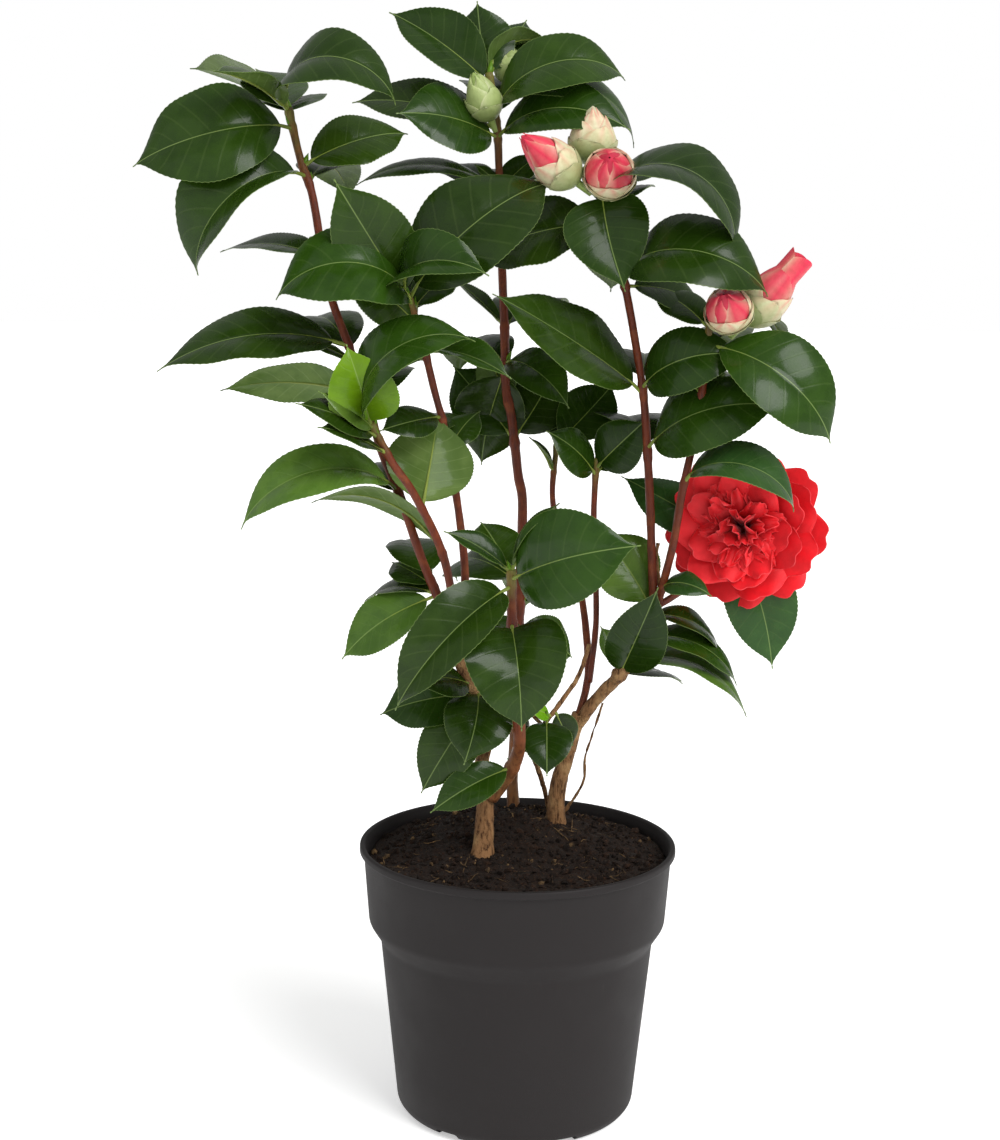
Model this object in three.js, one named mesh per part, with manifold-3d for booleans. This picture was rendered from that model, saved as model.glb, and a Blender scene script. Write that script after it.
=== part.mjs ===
// A young camellia shrub in its round nursery pot.
// Millimetres, +Z up.  The origin is the middle of the pot's flat underside; -Y is the front.
// Every stem is a tapering limb, and every group of leaves is one solid whose lobes are its leaves.

import * as THREE from 'three';
import * as BufferGeometryUtils from 'three/addons/utils/BufferGeometryUtils.js';
import Module from 'manifold-3d';

const wasm = await Module();
wasm.setup();

// ---------------------------------------------------------------- driving dimensions

const GAP = 0.7;
const CUT_TOLERANCE = 0.2;

const POT_HEIGHT = 164;
const POT_RIM_RADIUS = 95;
const POT_FOOT_RADIUS = 71.5;
const POT_WALL = 2;
const POT_FLOOR = 7;
const POT_SIDES = 32;
const SKIRT_TOP_RADIUS = 92.4;
const SKIRT_FOOT_RADIUS = 89.3;
const SKIRT_FOOT_HEIGHT = 117;
const BODY_TOP_RADIUS = 82.3;
const BODY_TOP_HEIGHT = 106;
const LIP_HEIGHT = 7;

const DRAIN_CHANNELS = 6;
const DRAIN_CHANNEL_WIDTH = 15;
const DRAIN_CHANNEL_DEPTH = 4;
const DRAIN_CHANNEL_START = 27;
const DRAIN_FIRST_BEARING = -125;
const DRAIN_HOLE_RADIUS = 5;
const DRAIN_HOLE_PLACE = 48;

const SOIL_EDGE_HEIGHT = 153;
const SOIL_MOUND = 13;
const SOIL_MOUND_SPREAD = 52;
const SOIL_MOUND_BACK = 38;
const SOIL_LUMP = 1.2;
const SOIL_SIDES = 24;

const STEM_SIDES = 6;
const STEM_STEP = 22;
const ROOT_FLARE = 0.45;
const ROOT_FLARE_HEIGHT = 9;

const LEAF_THICKNESS = 4.5;
const LEAF_STATIONS = [-0.02, 0.1, 0.36, 0.7, 1];
const SMALL_LEAF = 58;
const SMALL_LEAF_STATIONS = [-0.02, 0.12, 0.55, 1];
const PETIOLE_SHARE = 0.12;
const PETIOLE_THICKNESS = 3.4;
const KNOT_CLEARANCE = 3.6;

const BLOOM_CENTRE = [134, 12, 352];
const BLOOM_RADIUS = 48;
const BLOOM_DEPTH = 21;
const BLOOM_FACING = [-0.33, -0.93, 0.14];
const BLOOM_LOBES = 7;

const CHARCOAL_PLASTIC = 0x403e3d;
const PEAT = 0x2a1c14;
const OLD_BARK = 0x9a7145;
const YOUNG_BARK = 0x6e3a25;
const LEAF_GREEN = 0x2f5a1e;
const PETAL_RED = 0xd81e26;

// ---------------------------------------------------------------- layout of the plant

// Each stem: its path from foot to tip, its radius at both ends, and whether it stands in the soil.
const STEMS = {
  trunk_left: { path: [[-21, -8, 158], [-20, -4, 174], [-19, 0, 194]], foot: 7.5, tip: 6, old: true, rooted: true },
  limb_left: {
    path: [[-19, 0, 194.5], [-22, -2, 212], [-18, -4, 234], [-19, -5, 250], [-33, -8, 270], [-38, -10, 289]],
    foot: 5, tip: 4.2, old: true,
  },
  leader_left: {
    path: [[-38, -10, 290], [-48, -14, 315], [-58, -18, 340], [-82, -20, 405], [-100, -20, 463], [-120, -16, 545],
      [-127, -12, 565], [-131, -11, 580]],
    foot: 2.8, tip: 2.1,
  },
  stem_young: { path: [[-36, -15, 291], [-44, -30, 340], [-60, -42, 378], [-80, -45.5, 409]], foot: 2.7, tip: 2.2 },
  stem_inner: {
    path: [[-34, -4, 288], [-33, 5, 315], [-34, 5, 340], [-39, 0, 378], [-45, -10, 413], [-57, -22, 462],
      [-61, -26, 474]],
    foot: 2.7, tip: 2,
  },
  stem_front: {
    path: [[-11, -5, 196], [-7, -10, 207], [-1, -20, 223], [0, -30, 238], [-2, -40, 267], [-5, -50, 303],
      [-6, -54, 327]],
    foot: 3.2, tip: 2.2,
  },
  stem_back: {
    path: [[-2, 65, 166], [-3, 63, 186], [-1, 58, 237], [0, 50, 303], [1, 45, 361], [-6, 40, 414], [-11, 40, 468],
      [-13, 40, 506], [-16, 40, 575]],
    foot: 4, tip: 2, rooted: true,
  },
  trunk_right: { path: [[24, 37, 162], [24, 36, 178], [27, 34, 198], [36, 30, 233]], foot: 7, tip: 5.2, old: true,
    rooted: true },
  limb_right: { path: [[36.5, 29.5, 234], [49, 24, 249], [62, 15, 267], [74, 6, 298], [80, 2, 313]], foot: 4.8,
    tip: 3.8, old: true },
  stem_right: {
    path: [[79, 1, 314], [77, 0, 337], [75, 0, 373], [71, 0, 424], [67, -3, 450], [58, -5, 495], [50, -5, 520],
      [46, -5, 534]],
    foot: 2.8, tip: 2,
  },
  stem_far: { path: [[83, 1, 316], [88, -14, 348], [92, -20, 380], [99, -20, 417], [104, -20, 455]], foot: 2.6,
    tip: 1.9 },
  stem_bloom: { path: [[85, 4, 312], [100, 18, 318], [118, 36, 332], [136, 40, 346]], foot: 2.2, tip: 2.2 },
  stem_pair_left: {
    path: [[38, 31, 235], [41, 31, 252], [42, 31, 270], [37, 34, 310], [27, 35, 337], [19, 35, 367], [20, 35, 380]],
    foot: 2.8, tip: 1.5,
  },
  stem_pair_right: { path: [[46, 29, 262], [46, 24, 295], [44, 17, 340], [43, 15, 362], [43.5, 15, 376]], foot: 2.1,
    tip: 1.6 },
  twig_cross: { path: [[21, 60, 166], [13, 40, 197], [6, 20, 220], [15, 10, 234], [25, 10, 248], [36, 16, 266]],
    foot: 2, tip: 1.8, rooted: true },
  twig_dead: { path: [[31, 60, 166], [41, 55, 185], [42, 50, 203], [46, 45, 219], [52, 42, 239]], foot: 1.5, tip: 1,
    rooted: true },
};

// Each leaf row: the height of its node on the stem, then how far its tip lies to the right, to the back
// and up from that node, how far the blade arches over its length (degrees), how far its upper face is
// turned from the sky to the front (degrees), and its width for its length.
const FOLIAGE = {
  foliage_left_top: { stem: 'leader_left', centre: [-132, -11, 588], knot: 7, leaves: [
    [583, -88, -15, -22, 95, 60, 0.60], [590, -62, 45, 26, 40, -30, 0.5], [590, -34, -58, 18, 30, 20, 0.45],
    [590, 61, -20, 5, 190, 40, 0.5], [590, -20, 80, 12, 50, 10, 0.55],
  ] },
  foliage_left_upper: { stem: 'leader_left', leaves: [
    [562, 58, 25, 20, 70, 50, 0.6], [556, -60, -15, -55, 140, 50, 0.6],
  ] },
  foliage_left_middle: { stem: 'leader_left', leaves: [[512, -62, 30, 2, 40, 20, 0.5], [508, 22, 74, 4, 60, 0, 0.55]] },
  foliage_left_waist: { stem: 'leader_left', leaves: [
    [462, -106, -20, -14, 65, 35, 0.46], [454, -35, 72, 6, 60, 0, 0.55],
  ] },
  foliage_left_lower: { stem: 'leader_left', leaves: [
    [432, -84, 0, 4, 70, -50, 0.42], [424, 5, 78, 8, 60, 0, 0.55],
  ] },
  foliage_left_low: { stem: 'leader_left', leaves: [
    [378, -88, -20, -20, 130, 40, 0.48], [374, -32, 68, 0, 60, 0, 0.55],
  ] },
  foliage_left_foot: { stem: 'leader_left', leaves: [
    [318, -56, 5, -40, 45, 45, 0.55], [324, -30, 62, 6, 50, 0, 0.55],
  ] },
  foliage_young: { stem: 'stem_young', centre: [-84, -46, 416], knot: 6, leaves: [
    [407, -11, -12, 52, 60, 90, 0.62], [407, 57, -15, 58, 160, 30, 0.5], [407, -45, -32, 28, 20, 40, 0.5],
  ] },
  foliage_young_side: { stem: 'stem_young', leaves: [[345, -74, -10, 30, 95, -30, 0.34], [352, 18, -56, -22, 80, 60, 0.5]] },
  foliage_notched: { stem: 'stem_young', leaves: [[372, 8, 28, 52, 30, -75, 0.95]] },
  foliage_inner_top: { stem: 'stem_inner', centre: [-64, -28, 484], knot: 7, leaves: [
    [474, -42, -25, 80, 25, 90, 0.62], [474, 45, -35, 28, 155, 50, 0.55], [474, 80, 25, 78, 95, 50, 0.58],
    [474, -76, -20, 14, 150, 45, 0.62], [474, 14, 66, 30, 60, 10, 0.55],
  ] },
  foliage_inner_middle: { stem: 'stem_inner', leaves: [
    [456, 49, -30, -12, 60, 30, 0.5], [452, -30, 36, -14, 50, 40, 0.6],
  ] },
  foliage_inner_low: { stem: 'stem_inner', leaves: [
    [420, -34, -30, -5, 40, 50, 0.6], [402, 18, 25, 20, 30, 50, 0.6], [410, -20, 60, -4, 60, 10, 0.55],
  ] },
  foliage_front_top: { stem: 'stem_front', centre: [-6, -55, 334], knot: 6, leaves: [
    [326, 66, -40, 42, 60, 75, 0.74], [326, 10, -15, 56, 30, 20, 0.5],
    [326, -62, -30, -54, 78, 60, 0.60], [326, -18, 45, 34, 30, 30, 0.6],
  ] },
  foliage_front_heart: { stem: 'stem_front', leaves: [
    [308, 8, -38, -48, 120, 90, 0.80], [303, 6, 34, -28, 60, 50, 0.7],
  ] },
  foliage_back_top: { stem: 'stem_back', centre: [-20, 40, 597], knot: 8, leaves: [
    [575, -56, 10, 77, 40, 50, 0.6], [575, -8, 20, 85, -30, 90, 0.7],     [575, 36, 10, 60, 120, -20, 0.45], [574, 70, -14, 30, 120, 60, 0.62], [574, 72, 24, 4, 120, 30, 0.45],
    [574, -56, -35, 20, 40, 50, 0.78], [574, -80, 10, 26, 60, 40, 0.45],
    [574, 6, 82, 20, 90, 0, 0.55],
  ] },
  foliage_back_upper: { stem: 'stem_back', leaves: [
    [550, -84, -10, 2, 70, 20, 0.36], [551, -40, 40, 12, 30, 30, 0.5], [550, 25, 20, 22, 30, 40, 0.6],
    [546, 20, 78, 0, 70, 0, 0.55],
  ] },
  foliage_back_middle: { stem: 'stem_back', leaves: [[470, -30, 40, 26, 20, 20, 0.3], [466, 30, 76, -4, 70, 0, 0.55]] },
  foliage_back_waist: { stem: 'stem_back', leaves: [
    [448, 38, -25, -24, 120, 40, 0.6], [444, -30, 74, -10, 70, 0, 0.55],
  ] },
  foliage_back_lower: { stem: 'stem_back', leaves: [
    [402, -38, 30, 42, 20, 70, 0.75], [402, 20, 35, 24, 20, 70, 0.8],
    [400, -10, 82, -14, 70, 0, 0.55],
  ] },
  foliage_back_foot: { stem: 'stem_back', leaves: [
    [313, -42, 58, -6, 60, 10, 0.55], [319, 46, 58, -12, 60, 10, 0.55], [307, 5, 74, -22, 60, 10, 0.5],
  ] },
  foliage_right_top: { stem: 'stem_right', centre: [42, -5, 548], knot: 7, leaves: [
    [533, 74, -20, -22, 165, 25, 0.46], [533, 44, 40, 28, 30, 30, 0.4], [532, -78, 20, -22, 60, 50, 0.66],
    [533, 20, 76, 10, 70, 0, 0.55],
  ] },
  foliage_right_heart: { stem: 'stem_right', leaves: [
    [495, -14, -25, 68, 20, 90, 0.80], [500, 80, -25, -8, 150, 45, 0.56], [497, 50, 20, -16, 50, 40, 0.6],
    [496, -4, 80, -6, 70, 0, 0.55],
  ] },
  foliage_right_middle: { stem: 'stem_right', leaves: [
    [434, -88, -20, 58, 30, 35, 0.62], [438, 58, -20, 20, 115, 60, 0.6], [440, 6, 80, 2, 70, 0, 0.55],
  ] },
  foliage_right_lower: { stem: 'stem_right', leaves: [[402, 76, -30, 28, 90, 50, 0.60], [398, -18, 78, -8, 70, 0, 0.55]] },
  foliage_far_top: { stem: 'stem_far', centre: [105, -20, 464], knot: 6, leaves: [
    [454, 71, -10, -44, 105, 50, 0.58], [454, -30, 30, 38, 30, 40, 0.6],
    [454, 24, 70, -6, 80, 0, 0.55],
  ] },
  foliage_far_middle: { stem: 'stem_far', leaves: [[430, -25, 40, 30, 30, 40, 0.7], [428, 30, 68, -4, 80, 0, 0.55]] },
  foliage_far_lower: { stem: 'stem_far', leaves: [[385, 62, -12, -14, 155, 30, 0.46]] },
  foliage_bloom: { stem: 'stem_bloom', leaves: [
    [341, -64, 15, 38, 30, 50, 0.5], [342, 22, -2, -76, 40, 85, 0.58], [340, 8, 68, -14, 70, 0, 0.55],
  ] },
  foliage_pair_left: { stem: 'stem_pair_left', centre: [20.5, 35, 390], knot: 5.5, leaves: [
    [379, 36, 22, 55, 20, 60, 0.72], [379, -15, -10, 27, 30, 20, 0.4], [379, 2, 66, 14, 60, 0, 0.55],
  ] },
  foliage_pair_right: { stem: 'stem_pair_right', centre: [44, 15, 384], knot: 5.5, leaves: [
    [375, -30, -20, 38, 40, 50, 0.7], [375, 28, -12, 42, 30, 60, 0.85], [375, 30, 15, 37, 40, 40, 0.65],
  ] },
  foliage_limb_right: { stem: 'limb_right', leaves: [
    [302, 44, 30, -28, 60, 40, 0.6], [288, 58, 0, -24, 70, 45, 0.55], [302, -24, 10, 40, 30, 60, 0.7],
  ] },
  foliage_limb_right_low: { stem: 'limb_right', leaves: [
    [272, 72, -10, -28, 70, 40, 0.42], [266, 16, -15, 50, 30, 90, 0.66], [264, 44, 58, -18, 60, 0, 0.55],
  ] },
  foliage_limb_left: { stem: 'limb_left', leaves: [
    [260, -36, -30, 8, 35, 40, 0.7], [256, -48, 10, -16, 45, 50, 0.7], [258, -8, -32, -36, 90, 85, 0.85],
    [252, -30, 56, -14, 60, 0, 0.55],
  ] },
  foliage_twig: { stem: 'twig_cross', leaves: [
    [222, -50, -15, -26, 55, 60, 0.58], [236, 0, -30, -26, 90, 90, 0.75],
  ] },
};

// ---------------------------------------------------------------- shared helpers

const radians = THREE.MathUtils.degToRad;

function material(colour, roughness) {
  return new THREE.MeshStandardMaterial({ color: colour, roughness: roughness, metalness: 0 });
}

function solidOf(geometry) {
  const bare = geometry.clone();
  bare.deleteAttribute('normal');
  bare.deleteAttribute('uv');
  const merged = BufferGeometryUtils.mergeVertices(bare, 1e-4);
  const vertProperties = new Float32Array(merged.attributes.position.array);
  const triVerts = new Uint32Array(merged.index.array);
  return new wasm.Manifold(new wasm.Mesh({ numProp: 3, vertProperties: vertProperties, triVerts: triVerts }));
}

function geometryOf(solid) {
  const mesh = solid.getMesh();
  const geometry = new THREE.BufferGeometry();
  geometry.setAttribute('position', new THREE.BufferAttribute(new Float32Array(mesh.vertProperties), 3));
  geometry.setIndex(new THREE.BufferAttribute(new Uint32Array(mesh.triVerts), 1));
  geometry.computeVertexNormals();
  return geometry;
}

function joined(solids) {
  return solids.reduce((whole, piece) => whole.add(piece));
}

// A cut can leave crumbs behind; the piece keeps only its largest body.
function largestBody(solid) {
  const bodies = solid.simplify(CUT_TOLERANCE).decompose();
  return bodies.reduce((best, body) => (body.volume() > best.volume() ? body : best));
}

// The smooth centre line of a stem, and the evenly spaced points its solid is built on.
function stemCurve(path) {
  return new THREE.CatmullRomCurve3(path.map((p) => new THREE.Vector3(...p)), false, 'centripetal');
}

function stemSteps(curve) {
  return Math.max(2, Math.round(curve.getLength() / STEM_STEP));
}

// The point of a stem at a height and its direction there; past its ends, the nearer end.
function placeAtHeight(stem, height) {
  const curve = stemCurve(stem.path);
  const spine = curve.getSpacedPoints(stemSteps(curve));
  const last = spine.length - 1;
  const found = spine.findIndex((point, i) => i > 0 && point.z >= height);
  const high = found < 0 ? last : found;
  const span = spine[high].z - spine[high - 1].z;
  const share = THREE.MathUtils.clamp((height - spine[high - 1].z) / span, 0, 1);
  return {
    point: spine[high - 1].clone().lerp(spine[high], share),
    way: spine[high].clone().sub(spine[high - 1]).normalize(),
  };
}

// ---------------------------------------------------------------- pot and soil

// Radius of the pot's outer wall at a height, used for the inside and for the soil too.
function wallRadius(height) {
  if (height >= SKIRT_FOOT_HEIGHT) {
    const share = (height - SKIRT_FOOT_HEIGHT) / (POT_HEIGHT - LIP_HEIGHT - SKIRT_FOOT_HEIGHT);
    return THREE.MathUtils.lerp(SKIRT_FOOT_RADIUS, SKIRT_TOP_RADIUS, Math.min(share, 1));
  }
  if (height >= BODY_TOP_HEIGHT) {
    const share = (height - BODY_TOP_HEIGHT) / (SKIRT_FOOT_HEIGHT - BODY_TOP_HEIGHT);
    return THREE.MathUtils.lerp(BODY_TOP_RADIUS, SKIRT_FOOT_RADIUS, share);
  }
  return THREE.MathUtils.lerp(POT_FOOT_RADIUS, BODY_TOP_RADIUS, height / BODY_TOP_HEIGHT);
}

function uprightLathe(profile, sides) {
  const geometry = new THREE.LatheGeometry(profile.map(([r, z]) => new THREE.Vector2(r, z)), sides);
  geometry.rotateX(Math.PI / 2);
  return geometry;
}

function potGeometry() {
  const rim = POT_HEIGHT;
  const outer = [
    [0, 0], [POT_FOOT_RADIUS - 5, 0], [wallRadius(5), 5],
    [BODY_TOP_RADIUS, BODY_TOP_HEIGHT], [SKIRT_FOOT_RADIUS, SKIRT_FOOT_HEIGHT],
    [SKIRT_TOP_RADIUS, rim - LIP_HEIGHT], [POT_RIM_RADIUS, rim - 4.5],
    [POT_RIM_RADIUS - 0.7, rim - 0.9], [POT_RIM_RADIUS - 2.8, rim],
  ];
  const inner = [
    [SKIRT_TOP_RADIUS - POT_WALL, rim - LIP_HEIGHT],
    [SKIRT_FOOT_RADIUS - POT_WALL, SKIRT_FOOT_HEIGHT + 1], [BODY_TOP_RADIUS - POT_WALL, BODY_TOP_HEIGHT + 1],
    [wallRadius(POT_FLOOR) - POT_WALL, POT_FLOOR], [0, POT_FLOOR],
  ];
  let pot = solidOf(uprightLathe([...outer, ...inner], POT_SIDES));
  for (let i = 0; i < DRAIN_CHANNELS; i += 1) {
    const bearing = radians(DRAIN_FIRST_BEARING + (360 / DRAIN_CHANNELS) * i);
    const length = POT_RIM_RADIUS - DRAIN_CHANNEL_START;
    const channel = new THREE.BoxGeometry(length, DRAIN_CHANNEL_WIDTH, 2 * DRAIN_CHANNEL_DEPTH);
    channel.translate(DRAIN_CHANNEL_START + length / 2, 0, 0);
    channel.rotateZ(bearing);
    const hole = new THREE.CylinderGeometry(DRAIN_HOLE_RADIUS, DRAIN_HOLE_RADIUS, 4 * POT_FLOOR, 8);
    hole.rotateX(Math.PI / 2);
    hole.translate(DRAIN_HOLE_PLACE, 0, 0);
    hole.rotateZ(bearing);
    pot = pot.subtract(solidOf(channel)).subtract(solidOf(hole));
  }
  return geometryOf(pot);
}

// Height of the soil: level at the wall, a low mound towards the back, and small lumps.
function soilHeight(x, y) {
  const away = Math.hypot(x, y - SOIL_MOUND_BACK) / SOIL_MOUND_SPREAD;
  const edge = 1 - Math.min(Math.hypot(x, y) / 88, 1) ** 6;
  const lumps = Math.sin(x * 0.21 + 1) * Math.cos(y * 0.19 - 0.5);
  return SOIL_EDGE_HEIGHT + (SOIL_MOUND * Math.exp(-away * away) + SOIL_LUMP * lumps) * edge;
}

function soilSolid() {
  const inside = (height) => wallRadius(height) - POT_WALL - 1.2;
  const floor = POT_FLOOR + GAP;
  const top = SOIL_EDGE_HEIGHT;
  const profile = [
    [0, floor], [inside(floor) - 1, floor], [inside(BODY_TOP_HEIGHT) - 0.3, BODY_TOP_HEIGHT + 1.5],
    [inside(SKIRT_FOOT_HEIGHT) - 0.3, SKIRT_FOOT_HEIGHT + 2], [inside(top), top],
    [66, top], [38, top], [0, top],
  ];
  const geometry = uprightLathe(profile, SOIL_SIDES);
  const position = geometry.attributes.position;
  for (let i = 0; i < position.count; i += 1) {
    if (position.getZ(i) > top - 0.01) {
      position.setZ(i, soilHeight(position.getX(i), position.getY(i)));
    }
  }
  return solidOf(geometry);
}

// ---------------------------------------------------------------- stems

// A tapering limb.  `swell` makes it larger all over, for cutting its neighbours clear of it.
function limbSolid(stem, swell) {
  const curve = stemCurve(stem.path);
  const steps = stemSteps(curve);
  const section = new THREE.Shape(new THREE.EllipseCurve(0, 0, 1, 1).getPoints(STEM_SIDES));
  const geometry = new THREE.ExtrudeGeometry(section, {
    steps: steps, extrudePath: curve, bevelEnabled: false, curveSegments: 1,
  });
  const spine = curve.getSpacedPoints(steps);
  const footWay = spine[0].clone().sub(spine[1]).normalize();
  const tipWay = spine[steps].clone().sub(spine[steps - 1]).normalize();
  const footHeight = stem.path[0][2];
  const position = geometry.attributes.position;
  const vertex = new THREE.Vector3();
  for (let i = 0; i < position.count; i += 1) {
    vertex.fromBufferAttribute(position, i);
    const near = spine.reduce((best, p, k) => (
      p.distanceTo(vertex) < spine[best].distanceTo(vertex) ? k : best), 0);
    let radius = THREE.MathUtils.lerp(stem.foot, stem.tip, near / steps);
    if (stem.rooted) {
      const rise = Math.max(spine[near].z - footHeight, 0);
      radius *= 1 + ROOT_FLARE * Math.exp(-rise / ROOT_FLARE_HEIGHT);
    }
    vertex.sub(spine[near]).multiplyScalar(radius + swell).add(spine[near]);
    if (near === 0) {
      vertex.addScaledVector(footWay, stem.rooted ? 8 : swell);
    } else if (near === steps) {
      vertex.addScaledVector(tipWay, swell);
    }
    position.setXYZ(i, vertex.x, vertex.y, vertex.z);
  }
  const limb = solidOf(geometry);
  return stem.rooted ? limb.subtract(groundBlock(stem.path[0], footHeight - swell)) : limb;
}

// Everything below a level, round the foot of a stem.
function groundBlock(place, level) {
  const block = new THREE.BoxGeometry(60, 60, 40);
  block.translate(place[0], place[1], level - 20);
  return solidOf(block);
}

// A clear seat in the soil round and above the flat foot of a stem.
function stemSeat(stem) {
  const [x, y, z] = stem.path[0];
  const radius = stem.foot * (1 + ROOT_FLARE) + 1.6;
  const seat = new THREE.CylinderGeometry(radius, radius, 30, 10);
  seat.rotateX(Math.PI / 2);
  seat.translate(x, y, z - GAP + 15);
  return solidOf(seat);
}

// ---------------------------------------------------------------- foliage

function bladeWidth(share) {
  return Math.sin(Math.PI * share ** 0.85) ** 0.85 * (1 - 0.12 * share);
}

// One leaf as a thin closed lens along its arching midrib, from the node to the tip.
function leafSolid(node, row, swell) {
  const [, right, back, up, arch, face, width] = row;
  const reach = new THREE.Vector3(right, back, up);
  const chord = reach.length();
  const along = reach.clone().normalize();
  const turned = radians(face);
  const above = new THREE.Vector3(0, -Math.sin(turned), Math.cos(turned));
  above.addScaledVector(along, -above.dot(along)).normalize();
  const across = along.clone().cross(above);
  const bend = radians(arch);
  const radius = chord / 2 / Math.sin(bend / 2);
  const length = Math.abs(radius * bend);
  const stations = chord < SMALL_LEAF ? SMALL_LEAF_STATIONS : LEAF_STATIONS;
  const bands = stations.length - 1;
  const midrib = stations.map((share) => {
    const angle = bend * (share - 0.5);
    const spot = node.clone().addScaledVector(along, chord / 2 + radius * Math.sin(angle));
    return spot.addScaledVector(above, radius * (Math.cos(angle) - Math.cos(bend / 2)));
  });
  const root = midrib[0].clone().sub(midrib[1]).normalize();
  const tip = midrib[bands].clone().sub(midrib[bands - 1]).normalize();
  const geometry = new THREE.SphereGeometry(1, 4, bands);
  const position = geometry.attributes.position;
  for (let i = 0; i < position.count; i += 1) {
    const polar = Math.acos(THREE.MathUtils.clamp(position.getY(i), -1, 1)) / Math.PI;
    const station = Math.round(polar * bands);
    const share = stations[station];
    const angle = bend * (share - 0.5);
    const ring = Math.hypot(position.getX(i), position.getZ(i)) || 1;
    const side = position.getX(i) / ring;
    const depth = -position.getZ(i) / ring;
    const normal = above.clone().multiplyScalar(Math.cos(angle)).addScaledVector(along, Math.sin(angle));
    let halfWidth = PETIOLE_THICKNESS / 2;
    let halfDepth = PETIOLE_THICKNESS / 2;
    if (share > PETIOLE_SHARE) {
      const blade = bladeWidth((share - PETIOLE_SHARE) / (1 - PETIOLE_SHARE));
      halfWidth = Math.max(halfWidth, (blade * width * length * (1 - PETIOLE_SHARE)) / 2);
      halfDepth = LEAF_THICKNESS / 2;
    }
    const spot = midrib[station].clone();
    if (station === 0) {
      spot.addScaledVector(root, swell);
    } else if (station === bands) {
      spot.addScaledVector(tip, 2 * swell);
    } else {
      spot.addScaledVector(across, side * (halfWidth + swell));
      spot.addScaledVector(normal, depth * (halfDepth + 2 * swell));
    }
    position.setXYZ(i, spot.x, spot.y, spot.z);
  }
  return solidOf(geometry);
}

// The swelling where leaves join a stem, drawn out along the stem.
function knotSolid(centre, way, radius, reach) {
  const knot = new THREE.SphereGeometry(1, 6, 4);
  knot.scale(radius, reach, radius);
  knot.applyQuaternion(new THREE.Quaternion().setFromUnitVectors(new THREE.Vector3(0, 1, 0), way));
  knot.translate(centre.x, centre.y, centre.z);
  return solidOf(knot);
}

function massSolid(mass, swell) {
  const stem = STEMS[mass.stem];
  const heights = mass.leaves.map((row) => row[0]);
  const pieces = mass.leaves.map((row) => leafSolid(placeAtHeight(stem, row[0]).point, row, swell));
  if (mass.centre) {
    const tip = new THREE.Vector3(...stem.path[stem.path.length - 1]);
    const crown = new THREE.Vector3(...mass.centre);
    const reach = crown.distanceTo(tip) / 2 + mass.knot;
    const way = crown.clone().sub(tip).normalize();
    pieces.push(knotSolid(tip.lerp(crown, 0.5), way, mass.knot + swell, reach + swell));
  } else {
    const low = placeAtHeight(stem, Math.min(...heights));
    const high = placeAtHeight(stem, Math.max(...heights));
    const radius = THREE.MathUtils.lerp(stem.foot, stem.tip, 0.4) + KNOT_CLEARANCE;
    const reach = high.point.distanceTo(low.point) / 2 + 2 * radius;
    const middle = low.point.clone().lerp(high.point, 0.5);
    pieces.push(knotSolid(middle, high.way, radius + swell, reach + swell));
  }
  return joined(pieces);
}

// ---------------------------------------------------------------- bloom

// The open flower as one domed, lobed disc that faces forward and a little to the left.
function bloomSolid(swell) {
  const geometry = new THREE.SphereGeometry(1, 18, 6);
  const position = geometry.attributes.position;
  for (let i = 0; i < position.count; i += 1) {
    const x = position.getX(i);
    const z = position.getZ(i);
    const bearing = Math.atan2(z, x);
    const flat = Math.hypot(x, z);
    const lobed = 1 + 0.035 * Math.cos(bearing * BLOOM_LOBES + 0.6) * flat;
    position.setXYZ(i, x * lobed * (BLOOM_RADIUS + swell), position.getY(i) * (BLOOM_DEPTH + swell),
      z * lobed * (BLOOM_RADIUS + swell));
  }
  const facing = new THREE.Vector3(...BLOOM_FACING).normalize();
  const turn = new THREE.Quaternion().setFromUnitVectors(new THREE.Vector3(0, 1, 0), facing);
  geometry.applyQuaternion(turn);
  geometry.translate(...BLOOM_CENTRE);
  return solidOf(geometry);
}

// ---------------------------------------------------------------- assembly

const shrub = new THREE.Group();

function place(name, solid, finish) {
  const mesh = new THREE.Mesh(geometryOf(solid), finish);
  mesh.name = name;
  shrub.add(mesh);
}

const potMesh = new THREE.Mesh(potGeometry(), material(CHARCOAL_PLASTIC, 0.6));
potMesh.name = 'pot';
shrub.add(potMesh);

let soil = soilSolid();
for (const stem of Object.values(STEMS)) {
  if (stem.rooted) {
    soil = soil.subtract(stemSeat(stem));
  }
}
place('potting_soil', largestBody(soil), material(PEAT, 0.95));

let taken = null;
for (const [name, stem] of Object.entries(STEMS)) {
  const whole = limbSolid(stem, 0);
  const clear = taken ? whole.subtract(taken) : whole;
  place(name, largestBody(clear), material(stem.old ? OLD_BARK : YOUNG_BARK, 0.8));
  const swollen = limbSolid(stem, GAP);
  taken = taken ? taken.add(swollen) : swollen;
}

place('bloom', largestBody(bloomSolid(0).subtract(taken)), material(PETAL_RED, 0.6));
taken = taken.add(bloomSolid(GAP));

for (const [name, mass] of Object.entries(FOLIAGE)) {
  const clear = massSolid(mass, 0).subtract(taken);
  place(name, largestBody(clear), material(LEAF_GREEN, 0.4));
  taken = taken.add(massSolid(mass, GAP));
}

export default shrub;
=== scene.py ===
"""A young camellia shrub in its nursery pot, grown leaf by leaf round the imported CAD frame.

Metres, +Z up, front towards -Y.  Sizes in the tables are millimetres from the middle of the pot's foot.
"""
import math
import random
from functools import partial

import bmesh
import bpy
import numpy as np
from mathutils import Matrix, Vector, noise


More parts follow.
